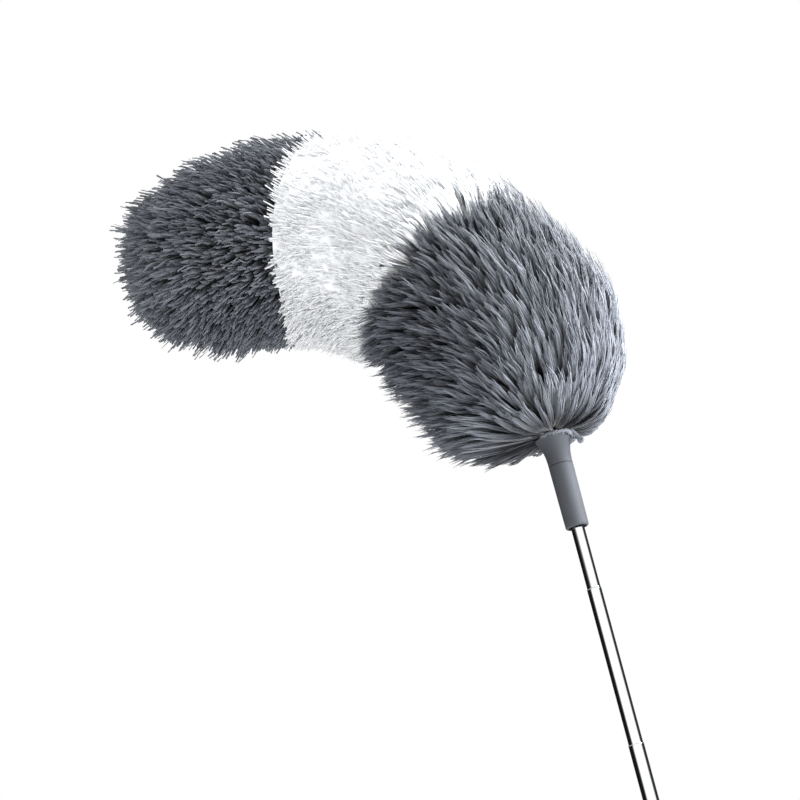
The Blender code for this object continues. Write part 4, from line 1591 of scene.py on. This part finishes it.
# Tones that gloss sees by bearing from -Y towards +X, in degrees
GLOSS_TONES = (
    (-180, 0.45),
    (-168, 0.45),
    (-158, 0.01),
    (-72, 0.01),
    (-50, 0.20),
    (-28, 1.40),
    (72, 1.40),
    (80, 0.80),
    (90, 0.04),
    (158, 0.04),
    (168, 0.45),
)


class DUSTER_OT_stage(bpy.types.Operator):
    """Adds the floor and the soft lights"""

    bl_idname = "duster.stage"
    bl_label = "Stage"

    def area_light(self, name, power, place, aim, size, glossy):
        light = link_object(name, bpy.data.lights.new(name, "AREA"))
        light.data.shape = "RECTANGLE"
        light.data.size, light.data.size_y = size
        light.data.energy = power
        light.location = place
        light.visible_camera = False
        light.visible_glossy = glossy
        light.rotation_euler = (Vector(aim) - Vector(place)).to_track_quat("-Z", "Y").to_euler()

    def surroundings(self, studio):
        """White behind the object, with a bright and a dark side for its light and gloss."""
        world = bpy.data.worlds.new("studio")
        world.use_nodes = True
        graph = Graph(world.node_tree)
        direction = graph.add("ShaderNodeTexCoord", out="Generated")
        toward = graph.vector("DOT_PRODUCT", direction, BRIGHT_SIDE, out="Value")
        soft = graph.remap(toward, -0.9, 0.9, studio.dark_side, studio.bright_side)
        east, south, _ = graph.parts(direction)
        bearing = graph.math("ARCTAN2", east, south * -1.0)
        stops = [((degrees / 180 + 1) / 2, (tone,) * 3) for degrees, tone in GLOSS_TONES]
        gloss = graph.ramp(bearing * (0.5 / math.pi) + 0.5, stops)
        in_gloss, in_camera = (
            graph.add("ShaderNodeLightPath", out=out)
            for out in ("Is Glossy Ray", "Is Camera Ray")
        )
        lit = graph.mixed(in_gloss, graph.grey(soft), gloss)
        seen = graph.mixed(in_camera, lit, (1, 1, 1))
        graph.feed(world.node_tree.nodes["Background"].inputs["Color"], seen)
        return world

    def execute(self, context):
        studio = context.scene.duster_studio
        context.scene.world = self.surroundings(studio)
        context.scene.view_settings.view_transform = "Standard"
        finish = Finish("pale floor", 0.7)
        cloud = finish.noise(finish.place, 3, 2)
        tone = finish.mixed(cloud, shaded(studio.floor, 0.97), studio.floor)
        finish.set({"Base Color": tone})
        bm = bmesh.new()
        bmesh.ops.create_grid(bm, x_segments=8, y_segments=8, size=8)
        bmesh.ops.translate(bm, verts=bm.verts, vec=(0, 0, cad_box[0].z))
        mesh_object("floor", bm, finish.material)
        for name, (place, aim, size, glossy) in LIGHTS.items():
            self.area_light(name, getattr(studio, name), place, aim, size, glossy)
        return {"FINISHED"}


class DUSTER_PT_panel(bpy.types.Panel):
    """Lists the duster's pieces"""

    bl_idname = "DUSTER_PT_panel"
    bl_label = "Extendable Duster"
    bl_space_type = "VIEW_3D"
    bl_region_type = "UI"
    bl_category = "Duster"

    def draw(self, context):
        for operator in OPERATORS:
            self.layout.operator(operator.bl_idname)
        for name in GROUPS:
            group = getattr(context.scene, name)
            box = self.layout.box()
            for key in group.__annotations__:
                box.prop(group, key)


GROUPS = {
    "duster_pole": DusterPole,
    "duster_collar": DusterCollar,
    "duster_handle": DusterHandle,
    "duster_pile": DusterPile,
    "duster_studio": DusterStudio,
}
OPERATORS = (
    DUSTER_OT_camera,
    DUSTER_OT_pole,
    DUSTER_OT_collar,
    DUSTER_OT_handle,
    DUSTER_OT_core,
    DUSTER_OT_pile,
    DUSTER_OT_backing,
    DUSTER_OT_fringe,
    DUSTER_OT_stage,
)
CLASSES = (*GROUPS.values(), *OPERATORS, DUSTER_PT_panel)


def register():
    for item in CLASSES:
        bpy.utils.register_class(item)
    for name, group in GROUPS.items():
        setattr(bpy.types.Scene, name, bpy.props.PointerProperty(type=group))


def unregister():
    for name in GROUPS:
        delattr(bpy.types.Scene, name)
    for item in reversed(CLASSES):
        bpy.utils.unregister_class(item)


def main():
    register()
    bpy.ops.duster.camera()
    bpy.ops.duster.pole()
    bpy.ops.duster.collar()
    bpy.ops.duster.handle()
    bpy.ops.duster.core()
    bpy.ops.duster.pile()
    bpy.ops.duster.backing()
    bpy.ops.duster.fringe()
    bpy.ops.duster.stage()


if __name__ == "__main__":
    main()
